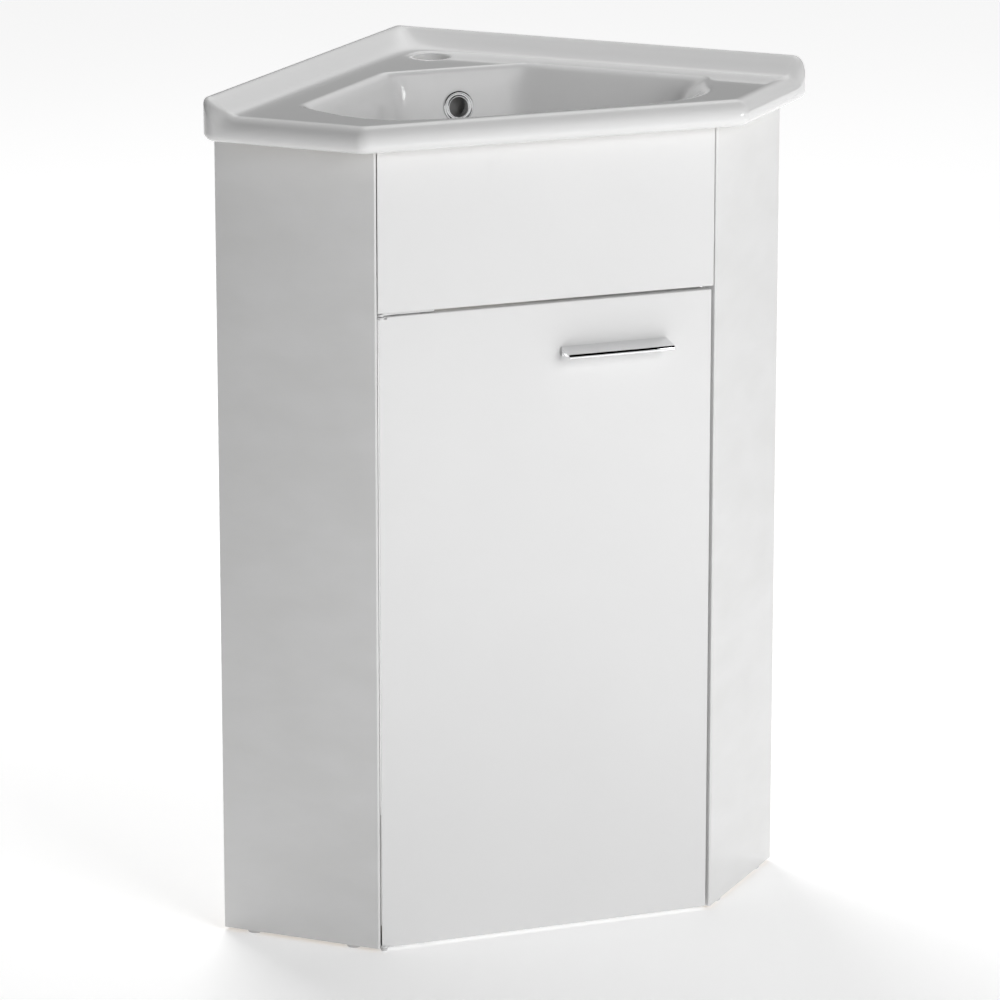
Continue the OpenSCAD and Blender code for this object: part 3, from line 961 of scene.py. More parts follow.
@dataclass
class CornerBasin:
    """Ceramic corner basin, as one closed skin of rings around the waste hole.

    Every ring has one point on each ray from the middle of the waste hole. The rings run from
    the waste bore over the floor and walls of the bowl, the deck with its raised edges, round the
    rim and back under it, down the outside of the bowl and round its boss. The tap hole and the
    overflow hole replace a patch of that grid by loops that turn from the patch's border into a
    circle.
    """

    # raised edges: height, distance of crest and foot from the wall, how the two meet, free ends
    upstand: float = 15.4
    crest: float = 0.0
    crest_foot: float = 36.0
    corner_power: float = 2.0
    end_reach: float = 17.0
    # rim: rounding on free edges and at the walls, where it grows from one to the other, its foot
    rim_edge: float = 14.0
    wall_edge: float = 4.5
    edge_from: float = 3.0
    edge_over: float = 22.0
    rim_foot: float = 8.0
    # rim's corners in plan
    front_round: float = 17.0
    end_round: float = 16.0
    back_round: float = 7.0
    # bowl: depth, fall of its floor, thickness of its wall
    depth: float = 126.0
    fall: float = 4.0
    wall: float = 9.0
    # mouth: width of the deck beside, behind and before it, its tips, slope and bow of its flanks
    edge: float = 66.0
    back: float = 164.0
    front: float = 22.6
    tip: tuple[float, float] = (195.0, 95.0)
    flank_slope: float = math.radians(72.0)
    bow: float = 6.5
    # power that joins its sides, and how much that softens towards the floor
    crisp: float = 42.0
    soften: float = 3.0
    # rounding of the lip, and depth over which the walls flare
    lip: float = 5.0
    flare_depth: float = 26.0
    # how far the walls come in: by the flare, evenly with depth, and by the turn into the floor
    front_in: Triple = (30.0, 40.0, 50.0)
    flank_in: Triple = (12.0, 45.0, 70.0)
    side_in: Triple = (6.0, 20.0, 38.0)
    back_lean: float = math.radians(6.0)
    back_turn: float = 24.0
    side_power: float = 4.0
    back_power: float = 8.0
    # waste hole with the dish around it and the boss below
    drain_back: float = 74.0
    drain_r: float = 22.5
    drain_edge: float = 1.0
    dish_from: float = 27.0
    dish_r: float = 33.0
    dish_drop: float = 2.2
    boss_r: float = 36.0
    boss_drop: float = 36.0
    boss_round: float = 1.5
    bore_round: float = 0.8
    # overflow duct: half width, distance behind the mouth, foot, blend into the bowl
    duct_half: float = 21.0
    duct_out: float = 22.0
    duct_foot: float = 155.0
    duct_blend: float = 5.0
    # distance between the underside of the deck and the outside of the bowl
    neck: float = 3.0
    # tap hole: place, radius, roundings, the patch it takes from the grid, loops and bore
    tap_back: float = 97.0
    tap_r: float = 17.5
    tap_edge: float = 2.2
    tap_foot_edge: float = 1.0
    tap_patch: float = 27.0
    tap_shares: Triple = (0.35, 0.7, 1.0)
    tap_steps: tuple[float, float] = (7.0, 14.0)
    # overflow hole, in the same way
    overflow_drop: float = 36.0
    overflow_r: float = 12.0
    overflow_edge: float = 0.6
    overflow_deep: float = 16.0
    overflow_patch: float = 16.5
    overflow_shares: Triple = (0.4, 0.75, 1.0)
    # rays, and how length and bends of rim and mouth count when they are spread
    rays: int = 560
    table: int = 4097
    rim_weights: tuple[float, float] = (0.2, 10.0)
    mouth_weights: tuple[float, float] = (0.25, 14.0)
    bend_limit: float = 0.2

    def __post_init__(self) -> None:
        """Works out the places that the rings hang on, in the front frame."""
        self.span = PLAN.span
        self.back_y = self.span - self.back
        self.drain = np.array([0.0, self.back_y - self.drain_back])
        overhang = (PLAN.basin_run + PLAN.basin_side - PLAN.wall_run - PLAN.side) * C45
        tip = np.array(self.tip) - self.drain
        self.flank = np.array([math.sin(self.flank_slope), -math.cos(self.flank_slope)])
        self.clear_front = self.drain[1] + overhang - self.front
        self.clear_flank = float(self.flank @ tip)
        self.clear_side = (self.span - self.drain[1]) * C45 - self.edge
        self.fall_from = self.depth - self.fall
        run, side = PLAN.basin_run, PLAN.basin_side
        self.corners = PLAN.from_walls([0.0, run, run, side, 0.0], [0.0, 0.0, side, run, run])
        self.corners[:, 1] -= PLAN.front_y
        self.radii = np.array([self.back_round, self.end_round, self.front_round,
                               self.front_round, self.end_round])
        self.angles = self.spread_rays()
        self.aim = np.stack([np.cos(self.angles), np.sin(self.angles)], 1)
        self.lift = np.array([0.0, PLAN.front_y, PLAN.deck])

    # ---- outlines

    def rim_outline(self, inset: float) -> Array:
        """Outline of the rim, drawn in by an inset."""
        return rounded_polygon(self.corners, self.radii, inset, 16)

    def rim_reach(self, inset: float) -> Array:
        """Ray lengths to the rim's outline, drawn in by an inset."""
        return ray_lengths(self.rim_outline(inset), self.drain, self.angles)

    def bowl_reach(self, aim: Array, insets: tuple[float, float, float, float], grow: float,
                   crisp: float) -> Array:
        """Ray lengths from the middle of the waste hole to the bowl's outline at one depth.

        Formula: a straight line at a clear distance d lies at d / (n . aim) along a ray, n being
        its outward normal. The reciprocals of the front line and of the two flanks are joined by
        a low power sum, which bows them into one curve. That curve, the two sides and the back
        are joined by a high power sum, which leaves small roundings at tips and back corners.

        Args:
            aim: R x 2 unit vectors of the rays.
            insets: Insets of the front, flanks, sides and back.
            grow: Extra distance outwards.
            crisp: The high power.

        Returns:
            One length for each ray.
        """
        def near(normal: tuple[float, float] | Array, clear: float) -> Array:
            """Reciprocal of the ray lengths to one line, 0 where a ray never meets it."""
            return np.clip(aim @ np.asarray(normal), 0, None) / (clear + grow)

        front, flank, side, back = insets
        mirror = np.array([-1.0, 1.0])
        bowed = np.stack([near((0.0, -1.0), self.clear_front - front),
                          near(self.flank, self.clear_flank - flank),
                          near(self.flank * mirror, self.clear_flank - flank)])
        bowed = (bowed ** self.bow).sum(0) ** (1 / self.bow)
        lines = np.stack([bowed, near((C45, C45), self.clear_side - side),
                          near((-C45, C45), self.clear_side - side),
                          near((0.0, 1.0), self.drain_back - back)])
        return (lines ** crisp).sum(0) ** (-1 / crisp)

    def turned(self, share: float, power: float) -> float:
        """Inward turn towards the floor: 1 - root of (1 - share to a power)."""
        return 1 - math.sqrt(max(0.0, 1 - share ** power))

    def inner_ring(self, depth: float, share: float, grow: float = 0.0,
                   flare: float | None = None) -> Array:
        """Ray lengths of the bowl's wall at a depth.

        Formula: each side's inset is its step times an ease over the flare, plus its lean times
        the share of the depth, plus its turn times the inward turn. The lip's quarter round is
        taken off where the depth is less than its radius.

        Args:
            depth: Depth below the deck.
            share: Share of the full depth.
            grow: Wall thickness, for the outside.
            flare: Share of the flare, or None to work it out from the depth.

        Returns:
            One length for each ray.
        """
        flare = float(ease(np.array(depth / self.flare_depth))) if flare is None else flare
        left = max(0.0, 1 - depth / self.lip) if grow == 0 else 0.0
        lip = self.lip * (1 - math.sqrt(max(0.0, 1 - left * left)))
        steps = np.array([flare, share, self.turned(share, self.side_power)])
        front, flank, side = (float(steps @ np.array(inset))
                              for inset in (self.front_in, self.flank_in, self.side_in))
        back = (share * self.fall_from * math.tan(self.back_lean)
                + self.back_turn * self.turned(share, self.back_power))
        return self.bowl_reach(self.aim, (front, flank, side, back), grow + lip,
                               self.crisp / (1 + self.soften * share))

    def spread_rays(self) -> Array:
        """Angles of the rays, closer together where an outline runs far or bends.

        Formula: the sum of the lengths of rim and mouth and of their bends, as a function of the
        angle, is cut into equal shares.

        Returns:
            The angles, from straight ahead round anticlockwise.
        """
        table = np.linspace(0, TURN, self.table)
        aim = np.stack([np.cos(table[:-1]), np.sin(table[:-1])], 1)
        mouth = self.drain + aim * self.bowl_reach(aim, (0, 0, 0, 0), self.lip, self.crisp)[:, None]
        total = np.zeros_like(table)
        for outline, (per_mm, per_turn) in ((self.rim_outline(0), self.rim_weights),
                                            (mouth, self.mouth_weights)):
            points = dense(outline, OUTLINE_POINTS)
            off = points - self.drain
            angle = np.mod(np.arctan2(off[:, 1], off[:, 0]) + math.pi / 2, TURN)
            order = np.argsort(angle)
            points = points[order]
            step = np.diff(np.vstack([points, points[:1]]), axis=0)
            length = np.linalg.norm(step, axis=1)
            heading = np.unwrap(np.arctan2(step[:, 1], step[:, 0]))
            bend = np.abs(np.diff(np.append(heading, heading[0] + TURN)))
            weight = np.cumsum(length * per_mm + np.minimum(bend, self.bend_limit) * per_turn)
            total += np.interp(table, angle[order], weight)
        at = np.linspace(total[0], total[-1], self.rays, endpoint=False)
        return np.interp(at, total, table) - math.pi / 2

    # ---- deck

    def off_walls(self, place: Array) -> tuple[Array, Array]:
        """Distances of plan points from the left and the right wall."""
        x, y = place[..., 0], self.span - place[..., 1]
        return C45 * (y + x), C45 * (y - x)

    def raised(self, place: Array) -> Array:
        """Height of the raised edges above the deck.

        Formula: the power mean of the distances to both walls goes through a smooth step down
        from the crest to its foot. Towards the free ends it falls off as a quarter ellipse.

        Args:
            place: Points in plan, any shape x 2.

        Returns:
            Heights in the shape of the points.
        """
        left, right = self.off_walls(place)
        power = self.corner_power
        both = np.maximum(np.stack([left, right]), NEAR_WALL)
        off = (both ** -power).sum(0) ** (-1 / power)
        height = self.upstand * (1 - smooth_step((off - self.crest)
                                                 / (self.crest_foot - self.crest)))
        from_end = (PLAN.basin_run - np.maximum(left, right)) / self.end_reach
        return height * np.sqrt(ease(from_end))

    def deck_height(self, lengths: Array) -> Array:
        """Height of the deck at one length on each ray."""
        return self.raised(self.drain + self.aim * lengths[:, None])

    def edge_drop(self, outline: Array, inset: float) -> Array:
        """Drop of the rim's rounded edge at an inset.

        Formula: a quarter circle, whose radius grows from the wall edge's to the rim edge's by a
        smooth step of the outline's distance to the nearer wall.

        Args:
            outline: Ray lengths of the rim's outline.
            inset: Distance inside the outline.

        Returns:
            One drop for each ray.
        """
        off = np.minimum(*self.off_walls(self.drain + self.aim * outline[:, None]))
        grown = smooth_step((off - self.edge_from) / self.edge_over)
        radius = self.wall_edge + (self.rim_edge - self.wall_edge) * grown
        left = np.clip(radius - inset, 0, None)
        return radius - np.sqrt(radius ** 2 - left ** 2)

    # ---- skin

    def rings(self) -> tuple[Array, Array, dict[str, slice]]:
        """All rings of the skin, from the foot of the waste bore round to the foot of the boss.

        Returns:
            K x N x 3 points in the front frame with z from the deck, the edge share of each
            ring, and the rows of the named stretches.
        """
        rows: list[Array] = []
        worn: list[float] = []
        parts: dict[str, slice] = {}

        def stretch(name: str, lengths: Iterable, heights: Iterable, share: float = 0.0) -> None:
            """Adds rings by their ray lengths and heights.

            Args:
                name: Name of the stretch.
                lengths: Ray lengths of each ring, one or one for each ray.
                heights: Heights of each ring, in the same way.
                share: Edge share of the rings.
            """
            start = len(rows)
            for length, height in zip(lengths, heights):
                place = self.drain + self.aim * np.broadcast_to(length, (self.rays,))[:, None]
                rows.append(np.column_stack([place, np.broadcast_to(height, (self.rays,))]))
                worn.append(share)
            parts[name] = slice(start, len(rows))

        # the waste hole, the dish around it, the floor and the walls
        foot = -(self.depth + self.boss_drop)
        waste = -self.depth - self.dish_drop
        stretch("bore", [self.drain_r] * 3,
                [foot + self.bore_round, -self.depth - self.boss_drop / 2, waste - self.drain_edge])
        insets, drops = quarter_up(self.drain_edge, 3)
        stretch("hole_edge", self.drain_r + insets, waste - drops, 0.6)
        dish = np.linspace(0, 1, 7)[1:]
        stretch("dish", steps_to(self.dish_from, self.dish_r, dish),
                waste + self.dish_drop * smooth_step((dish - 0.25) / 0.75))
        low = self.inner_ring(self.fall_from, 1.0)
        share = np.linspace(0, 1, 9)[1:-1]
        stretch("floor", steps_to(self.dish_r, low, share), -self.depth + self.fall * ease(share))
        steep = np.sqrt(1 - np.linspace(0.0, 0.93, 18) ** 2) ** 0.5
        upper = np.linspace(steep[-1], self.lip / self.fall_from, 14)[1:]
        lip = quarter_up(self.lip, 7)[1] / self.fall_from
        shares = np.concatenate([steep, upper, lip])
        stretch("wall", [self.inner_ring(s * self.fall_from, s) for s in shares],
                -shares * self.fall_from)

        # the deck, and the rim round to its underside
        share = 1 - (1 - np.linspace(0, 1, 38)[1:]) ** 1.25
        lengths = steps_to(self.inner_ring(0.0, 0.0), self.rim_reach(self.rim_edge), share)
        stretch("deck", lengths, [self.deck_height(r) for r in lengths])
        insets = quarter(self.rim_edge, 11)[0][1:]
        lengths = [self.rim_reach(i) for i in insets]
        brink = lengths[-1]
        stretch("rim_edge", lengths, [self.deck_height(r) - self.edge_drop(brink, i)
                                      for r, i in zip(lengths, insets)], 0.5)
        stretch("rim_side", [brink] * 3,
                steps_to(rows[-1][:, 2], self.rim_foot - PLAN.rim, (0.34, 0.67, 1)))
        insets, drops = quarter_up(self.rim_foot, 6)
        lengths = [self.rim_reach(i) for i in insets]
        stretch("rim_foot", lengths, drops - PLAN.rim, 0.5)

        # the outside of the bowl with its duct, and the boss
        deep = self.fall_from + self.wall
        first = PLAN.rim / deep
        duct = self.duct_weight()
        shell = self.inner_ring(PLAN.rim, first, self.wall, 1.0)
        neck = shell + duct * (self.duct_length() - shell) + self.neck
        share = np.linspace(0, 1, 20)[1:-1]
        stretch("underside", steps_to(lengths[-1], neck, share), [-PLAN.rim] * len(share))
        lengths, heights = [], []
        for step in np.append(np.linspace(0, 0.8, 9), 0.8 + 0.2 * ease(np.linspace(0, 1, 9)[1:])):
            part = first + (1 - first) * min(1.0, step)
            wall = self.inner_ring(part * deep, part, self.wall, 1.0)
            lengths.append(wall + duct * (self.duct_length() - wall))
            heights.append(-part * deep + duct * (part * deep - PLAN.rim
                                                  - step * (self.duct_foot - PLAN.rim)))
        stretch("shell", lengths, heights)
        share = np.linspace(0, 1, 8)[1:]
        near_foot = -(self.depth + self.wall) * (1 - duct) - self.duct_foot * duct
        stretch("pan", steps_to(lengths[-1], self.boss_r + self.boss_round, share),
                steps_to(heights[-1], near_foot, share))
        stretch("boss", [self.boss_r] * 4,
                steps_to(rows[-1][:, 2], foot + self.boss_round, (0.1, 0.4, 0.7, 1)))
        stretch("boss_edge", [self.boss_r - self.boss_round / 3, self.boss_r - self.boss_round,
                              self.drain_r + self.bore_round, self.drain_r],
                [foot + self.boss_round / 3, foot, foot, foot + self.bore_round / 2], 0.4)
        return np.stack(rows), np.array(worn), parts

    def duct_length(self) -> Array:
        """Ray lengths to the flat back of the overflow duct."""
        rise = np.clip(self.aim[:, 1], 0.3, 1)
        return (self.drain_back + self.duct_out) / rise

    def duct_weight(self) -> Array:
        """1 on the rays that meet the duct, falling to 0 over the duct's blend beside it.

        Returns:
            One weight for each ray.
        """
        beside = np.abs(self.aim[:, 0]) * self.duct_length()
        weight = smooth_step((self.duct_half - beside) / self.duct_blend + 0.5)
        return np.where(self.aim[:, 1] > 0.5, weight, 0.0)

    def build(self) -> Object:
        """Builds the basin with its tap hole and overflow hole.

        Returns:
            The basin.
        """
        skin = Skin()
        rings, worn, parts = self.rings()
        numbers = skin.add_points(rings + self.lift,
                                  np.broadcast_to(worn[:, None], rings.shape[:2]))
        quads = ring_faces(*numbers.shape, closed=True)
        marks = np.zeros(quads.shape[:2], int)
        marks[parts["underside"].start + 1:parts["boss_edge"].stop] = 1
        keep = np.ones(quads.shape[:2], bool)
        tap = np.array([0.0, self.span - self.tap_back])
        top = self.patch(rings[..., :2], parts["deck"], tap, self.tap_patch)
        low = self.patch(rings[..., :2], parts["underside"], tap, self.tap_patch)
        mouth = np.array([0.0, -self.overflow_drop])
        side = self.patch(rings[..., ::2], parts["wall"], mouth, self.overflow_patch)
        for rows, columns in (top, low, side):
            keep[rows[0]:rows[1], columns[0]:columns[1]] = False
        skin.add_faces(quads[keep], marks[keep])
        self.tap_hole(skin, numbers, rings, top, low, tap)
        self.overflow_hole(skin, numbers, rings, side, mouth)
        return skin.piece("ceramic_basin", Body.CABINET, [GLAZE, BISCUIT, DUCT_SHADE],
                          ("basin",), sharp=60)

    def patch(self, rings: Array, part: slice, centre: Array, reach: float) -> Patch:
        """Rows and columns of the grid just outside a square around a hole.

        Args:
            rings: Grid of points, as x and y for the deck or x and z for the back wall.
            part: Rows to look in.
            centre: Middle of the hole.
            reach: Half the square's side.

        Returns:
            First and last row, and first and last column.
        """
        middle = int(np.argmin(np.abs(self.angles - math.pi / 2)))
        line = rings[part, middle, 1]
        rows = np.nonzero(np.abs(line - centre[1]) <= reach)[0]
        row = (part.start + rows[0] - 1, part.start + rows[-1] + 1)
        mid = part.start + int(np.argmin(np.abs(line - centre[1])))
        inside = np.nonzero((np.abs(rings[mid, :, 0]) <= reach) & (self.aim[:, 1] > 0))[0]
        return row, (int(inside[0]) - 1, int(inside[-1]) + 1)

    def tap_hole(self, skin: Skin, numbers: Array, rings: Array, top: Patch, low: Patch,
                 tap: Array) -> None:
        """Cuts the tap hole: rounded glazed edge, bore and underside.

        Formula: on every ray from the hole's middle to the border, loops lie at shares of the
        way to the edge circle and follow the deck's height; then come a quarter round and the
        bore.

        Args:
            skin: Skin to add to.
            numbers: Grid of point numbers.
            rings: Grid of points in the front frame.
            top: Patch in the deck.
            low: Patch in the underside.
            tap: Middle of the hole in plan.
        """
        flat = rings.reshape(-1, 3)
        ends = []
        for patch, above in ((top, True), (low, False)):
            border = patch_border(numbers, patch)
            edge = flat[border, :2]
            angle = np.arctan2(*(edge - tap).T[::-1])
            aim = np.stack([np.cos(angle), np.sin(angle)], 1)
            brink = self.tap_edge if above else self.tap_foot_edge
            loops = []
            for place in steps_to(edge, tap + aim * (self.tap_r + brink), self.tap_shares):
                height = self.raised(place) if above else np.full(len(place), -PLAN.rim)
                loops.append(np.column_stack([place, height]))
            base = loops[-1][:, 2]
            insets, drops = quarter(brink, 6)
            bore = [(inset, base - drop if above else base + drop)
                    for inset, drop in zip(insets[1:], drops[1:])]
            if above:
                bore += [(0.0, np.full(len(aim), -depth)) for depth in self.tap_steps]
            loops += [np.column_stack([tap + aim * (self.tap_r + inset), height])
                      for inset, height in bore]
            ends += [fill_patch(skin, border, np.stack(loops) + self.lift, not above), angle]
        join_loops(skin, *ends)

    def overflow_hole(self, skin: Skin, numbers: Array, rings: Array, side: Patch,
                      mouth: Array) -> None:
        """Cuts the overflow hole: a bore square to the leaning back wall, closed by a dark grey cap
        that paints the shade deep in the duct.

        Formula: loops in x and z at shares of the way from the border to the circle, set on the
        wall by its lean, and then the bore along the wall's normal.

        Args:
            skin: Skin to add to.
            numbers: Grid of point numbers.
            rings: Grid of points in the front frame.
            side: Patch in the back wall.
            mouth: Middle of the hole as x and z.
        """
        border = patch_border(numbers, side)
        edge = rings.reshape(-1, 3)[border]
        lean = self.back_lean
        angle = np.arctan2((edge[:, 2] - mouth[1]) / math.cos(lean), edge[:, 0])
        aim = np.column_stack([np.cos(angle), np.sin(angle) * math.sin(lean),
                               np.sin(angle) * math.cos(lean)])
        centre = np.array([0.0, self.back_y + mouth[1] * math.tan(lean), mouth[1]])
        inward = np.array([0.0, math.cos(lean), -math.sin(lean)])
        circle = centre + aim * (self.overflow_r + self.overflow_edge)
        loops = steps_to(edge, circle, self.overflow_shares)
        for reach, deep in ((self.overflow_edge / 4, self.overflow_edge / 3),
                            (0.0, self.overflow_edge), (0.0, self.overflow_edge * 10),
                            (0.0, self.overflow_deep)):
            loops.append(centre + aim * (self.overflow_r + reach) + inward * deep)
        last = fill_patch(skin, border, np.stack(loops) + self.lift, False)
        # the cap takes material 2, the dark grey that paints the duct's deep shade
        skin.cap(loops[-1] + self.lift, last, False, 2)


def fill_patch(skin: Skin, border: Array, loops: Array, inward: bool) -> Array:
    """Fills a patch of a grid by loops that end in a circle.

    Formula: the patch's border, read in order, is joined to the first loop, and each loop to
    the next, point by point.

    Args:
        skin: Skin that the patch belongs to.
        border: Numbers of the points round the patch.
        loops: L x B x 3 loops, from the border inwards.
        inward: Turns the faces over.

    Returns:
        The last loop's numbers.
    """
    inner = skin.add_points(loops)
    stack = np.vstack([border[None], inner])
    quads = stack.reshape(-1)[ring_faces(*stack.shape)]
    skin.add_faces(quads[..., ::-1] if inward else quads)
    return inner[-1]


def patch_border(numbers: Array, patch: Patch) -> Array:
    """Numbers round the border of a patch of a grid, in order, each once.

    Args:
        numbers: Grid of point numbers.
        patch: First and last row, and first and last column.

    Returns:
        The numbers, once round.
    """
    (r0, r1), (c0, c1) = patch
    return np.concatenate([numbers[r0, c0:c1], numbers[r0:r1, c1],
                           numbers[r1, c1:c0:-1], numbers[r1:r0:-1, c0]])


def join_loops(skin: Skin, upper: Array, first: Array, lower: Array, second: Array) -> None:
    """Joins two loops of unequal count around one axis by triangles.

    Formula: both loops are cut into the same shares of a turn; each step of the finer walk moves
    on the loop whose next point comes first.

    Args:
        skin: Skin to add to.
        upper: Numbers of the upper loop.
        first: Angles of its points.
        lower: Numbers of the lower loop.
        second: Angles of its points.
    """
    up = np.argsort(np.mod(first, TURN))
    low = np.argsort(np.mod(second, TURN))
    upper, first = upper[up], np.mod(first, TURN)[up]
    lower, second = lower[low], np.mod(second, TURN)[low]
    step = np.concatenate([first, second])
    kind = np.concatenate([np.zeros(len(first), int), np.ones(len(second), int)])
    order = np.argsort(step, kind="stable")
    kind = kind[order]
    at_up = np.cumsum(kind == 0) - 1
    at_low = np.cumsum(kind == 1) - 1
    a, b = upper[at_up % len(upper)], lower[at_low % len(lower)]
    before_a, before_b = upper[(at_up - 1) % len(upper)], lower[(at_low - 1) % len(lower)]
    moved_up = np.stack([before_a, a, b], 1)
    moved_low = np.stack([a, b, before_b], 1)
    faces = np.where((kind == 0)[:, None], moved_up, moved_low)
    skin.add_faces(faces)


# ---------------------------------------------------------------- turned pieces


def lathe(profile: Array, centre: Array, axis: Array, steps: int = 96) -> Array:
    """Rings of a turned piece.

    Formula: each point (r, h) of the profile goes round the axis on a circle of radius r at
    height h.

    Args:
        profile: K x 2 radii and heights.
        centre: Origin of the profile.
        axis: Unit vector of the axis.
        steps: Points in each ring.

    Returns:
        K x steps x 3 points.
    """
    helper = X_AXIS if abs(axis[0]) < 0.9 else Y_AXIS
    first = np.cross(helper, axis)
    first /= np.linalg.norm(first)
    second = np.cross(axis, first)
    angle = np.linspace(0, TURN, steps, endpoint=False)
    circle = np.cos(angle)[:, None] * first + np.sin(angle)[:, None] * second
    return centre + profile[:, 0][:, None, None] * circle + profile[:, 1][:, None, None] * axis


def ellipse_points(centre: tuple[float, float], radii: tuple[float, float], angle: Array,
        power: float = 1.0) -> Array:
    """Points (r, h) on an ellipse round a centre, the cosine raised to a power."""
    return np.stack([centre[0] + radii[0] * np.cos(angle) ** power,
                     centre[1] + radii[1] * np.sin(angle)], 1)


@dataclass
class OverflowRing:
    """Chrome ring in the overflow hole: rolled rim, hollow face and sleeve."""

    outer: float = 15.0
    bore: float = 9.0
    sleeve: float = 11.8
    tail: float = 7.0
    # foot of the rim above the wall, and chamfer of its back and of the sleeve
    seat: float = 0.12
    chamfer: float = 0.6
    # rolled rim and inner bead: radii across and along, with their middles
    roll: tuple[float, float] = (1.3, 1.25)
    roll_height: float = 0.75
    bead: tuple[float, float] = (0.9, 0.75)
    bead_at: tuple[float, float] = (1.0, 0.9)
    # hollow face, as distance from the outer edge and height
    face: tuple[tuple[float, float], ...] = ((2.6, 0.95), (3.4, 0.8))

    def profile(self) -> Array:
        """Radii and heights: foot, rolled rim, hollow face, inner bead, bore and sleeve.

        Returns:
            K x 2 radii and heights above the back wall.
        """
        roll = ellipse_points((self.outer - self.roll[0], self.roll_height), self.roll,
                   np.linspace(0, math.pi, 13)[:-1])
        bead = ellipse_points((self.bore + self.bead_at[0], self.bead_at[1]), self.bead,
                   np.linspace(0, math.pi * 0.75, 9))
        return np.concatenate([
            [(self.sleeve, self.seat), (self.outer - self.chamfer, self.seat), (self.outer, 0.4)],
            roll, [(self.outer - inset, height) for inset, height in self.face], bead,
            [(self.bore, 0.7), (self.bore, -self.tail), (self.sleeve - self.chamfer, -self.tail),
             (self.sleeve, -self.tail + self.chamfer)]])

    def build(self, basin: CornerBasin) -> Object:
        """Turns the ring on the axis of the basin's overflow hole.

        Args:
            basin: Basin that the ring sits in.

        Returns:
            The ring.
        """
        lean, drop = basin.back_lean, basin.overflow_drop
        centre = np.array([0.0, basin.back_y - drop * math.tan(lean), -drop]) + basin.lift
        axis = np.array([0.0, -math.cos(lean), math.sin(lean)])
        skin = Skin()
        skin.add_rings(lathe(self.profile(), centre, axis), caps=False, closed=True, worn=0.1)
        return skin.piece("overflow_trim", Body.CABINET, [CHROME],
                          ("overflow_ring",), sharp=40)


@dataclass
class TurnedSet:
    """Small turned pieces of one kind: the floor glides or the door's stops."""

    name: str
    nodes: tuple[str, ...]
    body: Body
    slot: Slot
    finish: Finish
    profile: Array
    places: list[Array]
    axis: Array

    def build(self) -> Object:
        """Turns one piece at each place, all in one mesh.

        Returns:
            The set, as one object.
        """
        skin = Skin()
        for place in self.places:
            skin.add_rings(lathe(self.profile, place, self.axis, 48), worn=0.2)
        return skin.piece(self.name, self.body, [self.finish], self.nodes, sharp=40)


# ---------------------------------------------------------------- boards


@dataclass
class UprightBoard:
    """Board that stands on its lower edge: an outline in plan, carried upwards.

    Formula: the plan outline with corners rounded by the edge radius, drawn in by a quarter
    round at the foot and the head, with one more ring just inside so that the flat ends stay
    flat.
    """

    name: str
    node: str
    corners: Array
    foot: float
    head: float
    finishes: list[Finish]
    ease_mm: float = 0.6
    flat_mm: float = 0.01
    steps: int = 7

    def build(self) -> Object:
        """Builds the board, with raw board where it faces the wall or lies under the basin.

        Returns:
            The board.
        """
        radii = np.full(len(self.corners), self.ease_mm)
        insets, drops = quarter(self.ease_mm - 2 * self.flat_mm, 5)
        innermost = self.ease_mm - self.flat_mm
        levels = [(innermost, self.foot), *zip(insets, self.foot + drops),
                  *zip(insets[::-1], self.head - drops[::-1]), (innermost, self.head)]
        rings = np.stack([np.column_stack([
            rounded_polygon(self.corners, radii, inset, self.steps),
            np.full(len(self.corners) * self.steps, z)]) for inset, z in levels])
        skin = Skin()
        skin.add_rings(rings, worn=np.array([0.0] + [0.6] * len(insets) * 2 + [0.0]))
        self.mark(skin)
        return skin.piece(self.name, Body.CABINET, self.finishes, (self.node,))

    def mark(self, skin: Skin) -> None:
        """Gives raw board to faces that look at the nearer wall, up or down.

        Args:
            skin: Skin of the board, whose marks are changed.
        """
        points = np.concatenate(skin.points)
        wallward = np.array([np.sign(self.corners[:, 0].mean()) * C45, C45, 0.0])
        for block, (faces, marks) in enumerate(zip(skin.faces, skin.marks)):
            corner = points[faces[:, :3]]
            normal = np.cross(corner[:, 1] - corner[:, 0], corner[:, 2] - corner[:, 0])
            normal /= np.maximum(np.linalg.norm(normal, axis=1, keepdims=True), 1e-12)
            raw = (np.abs(normal[:, 2]) > SQUARELY) | (normal @ wallward > SQUARELY)
            skin.marks[block] = np.where(raw, 1, marks)


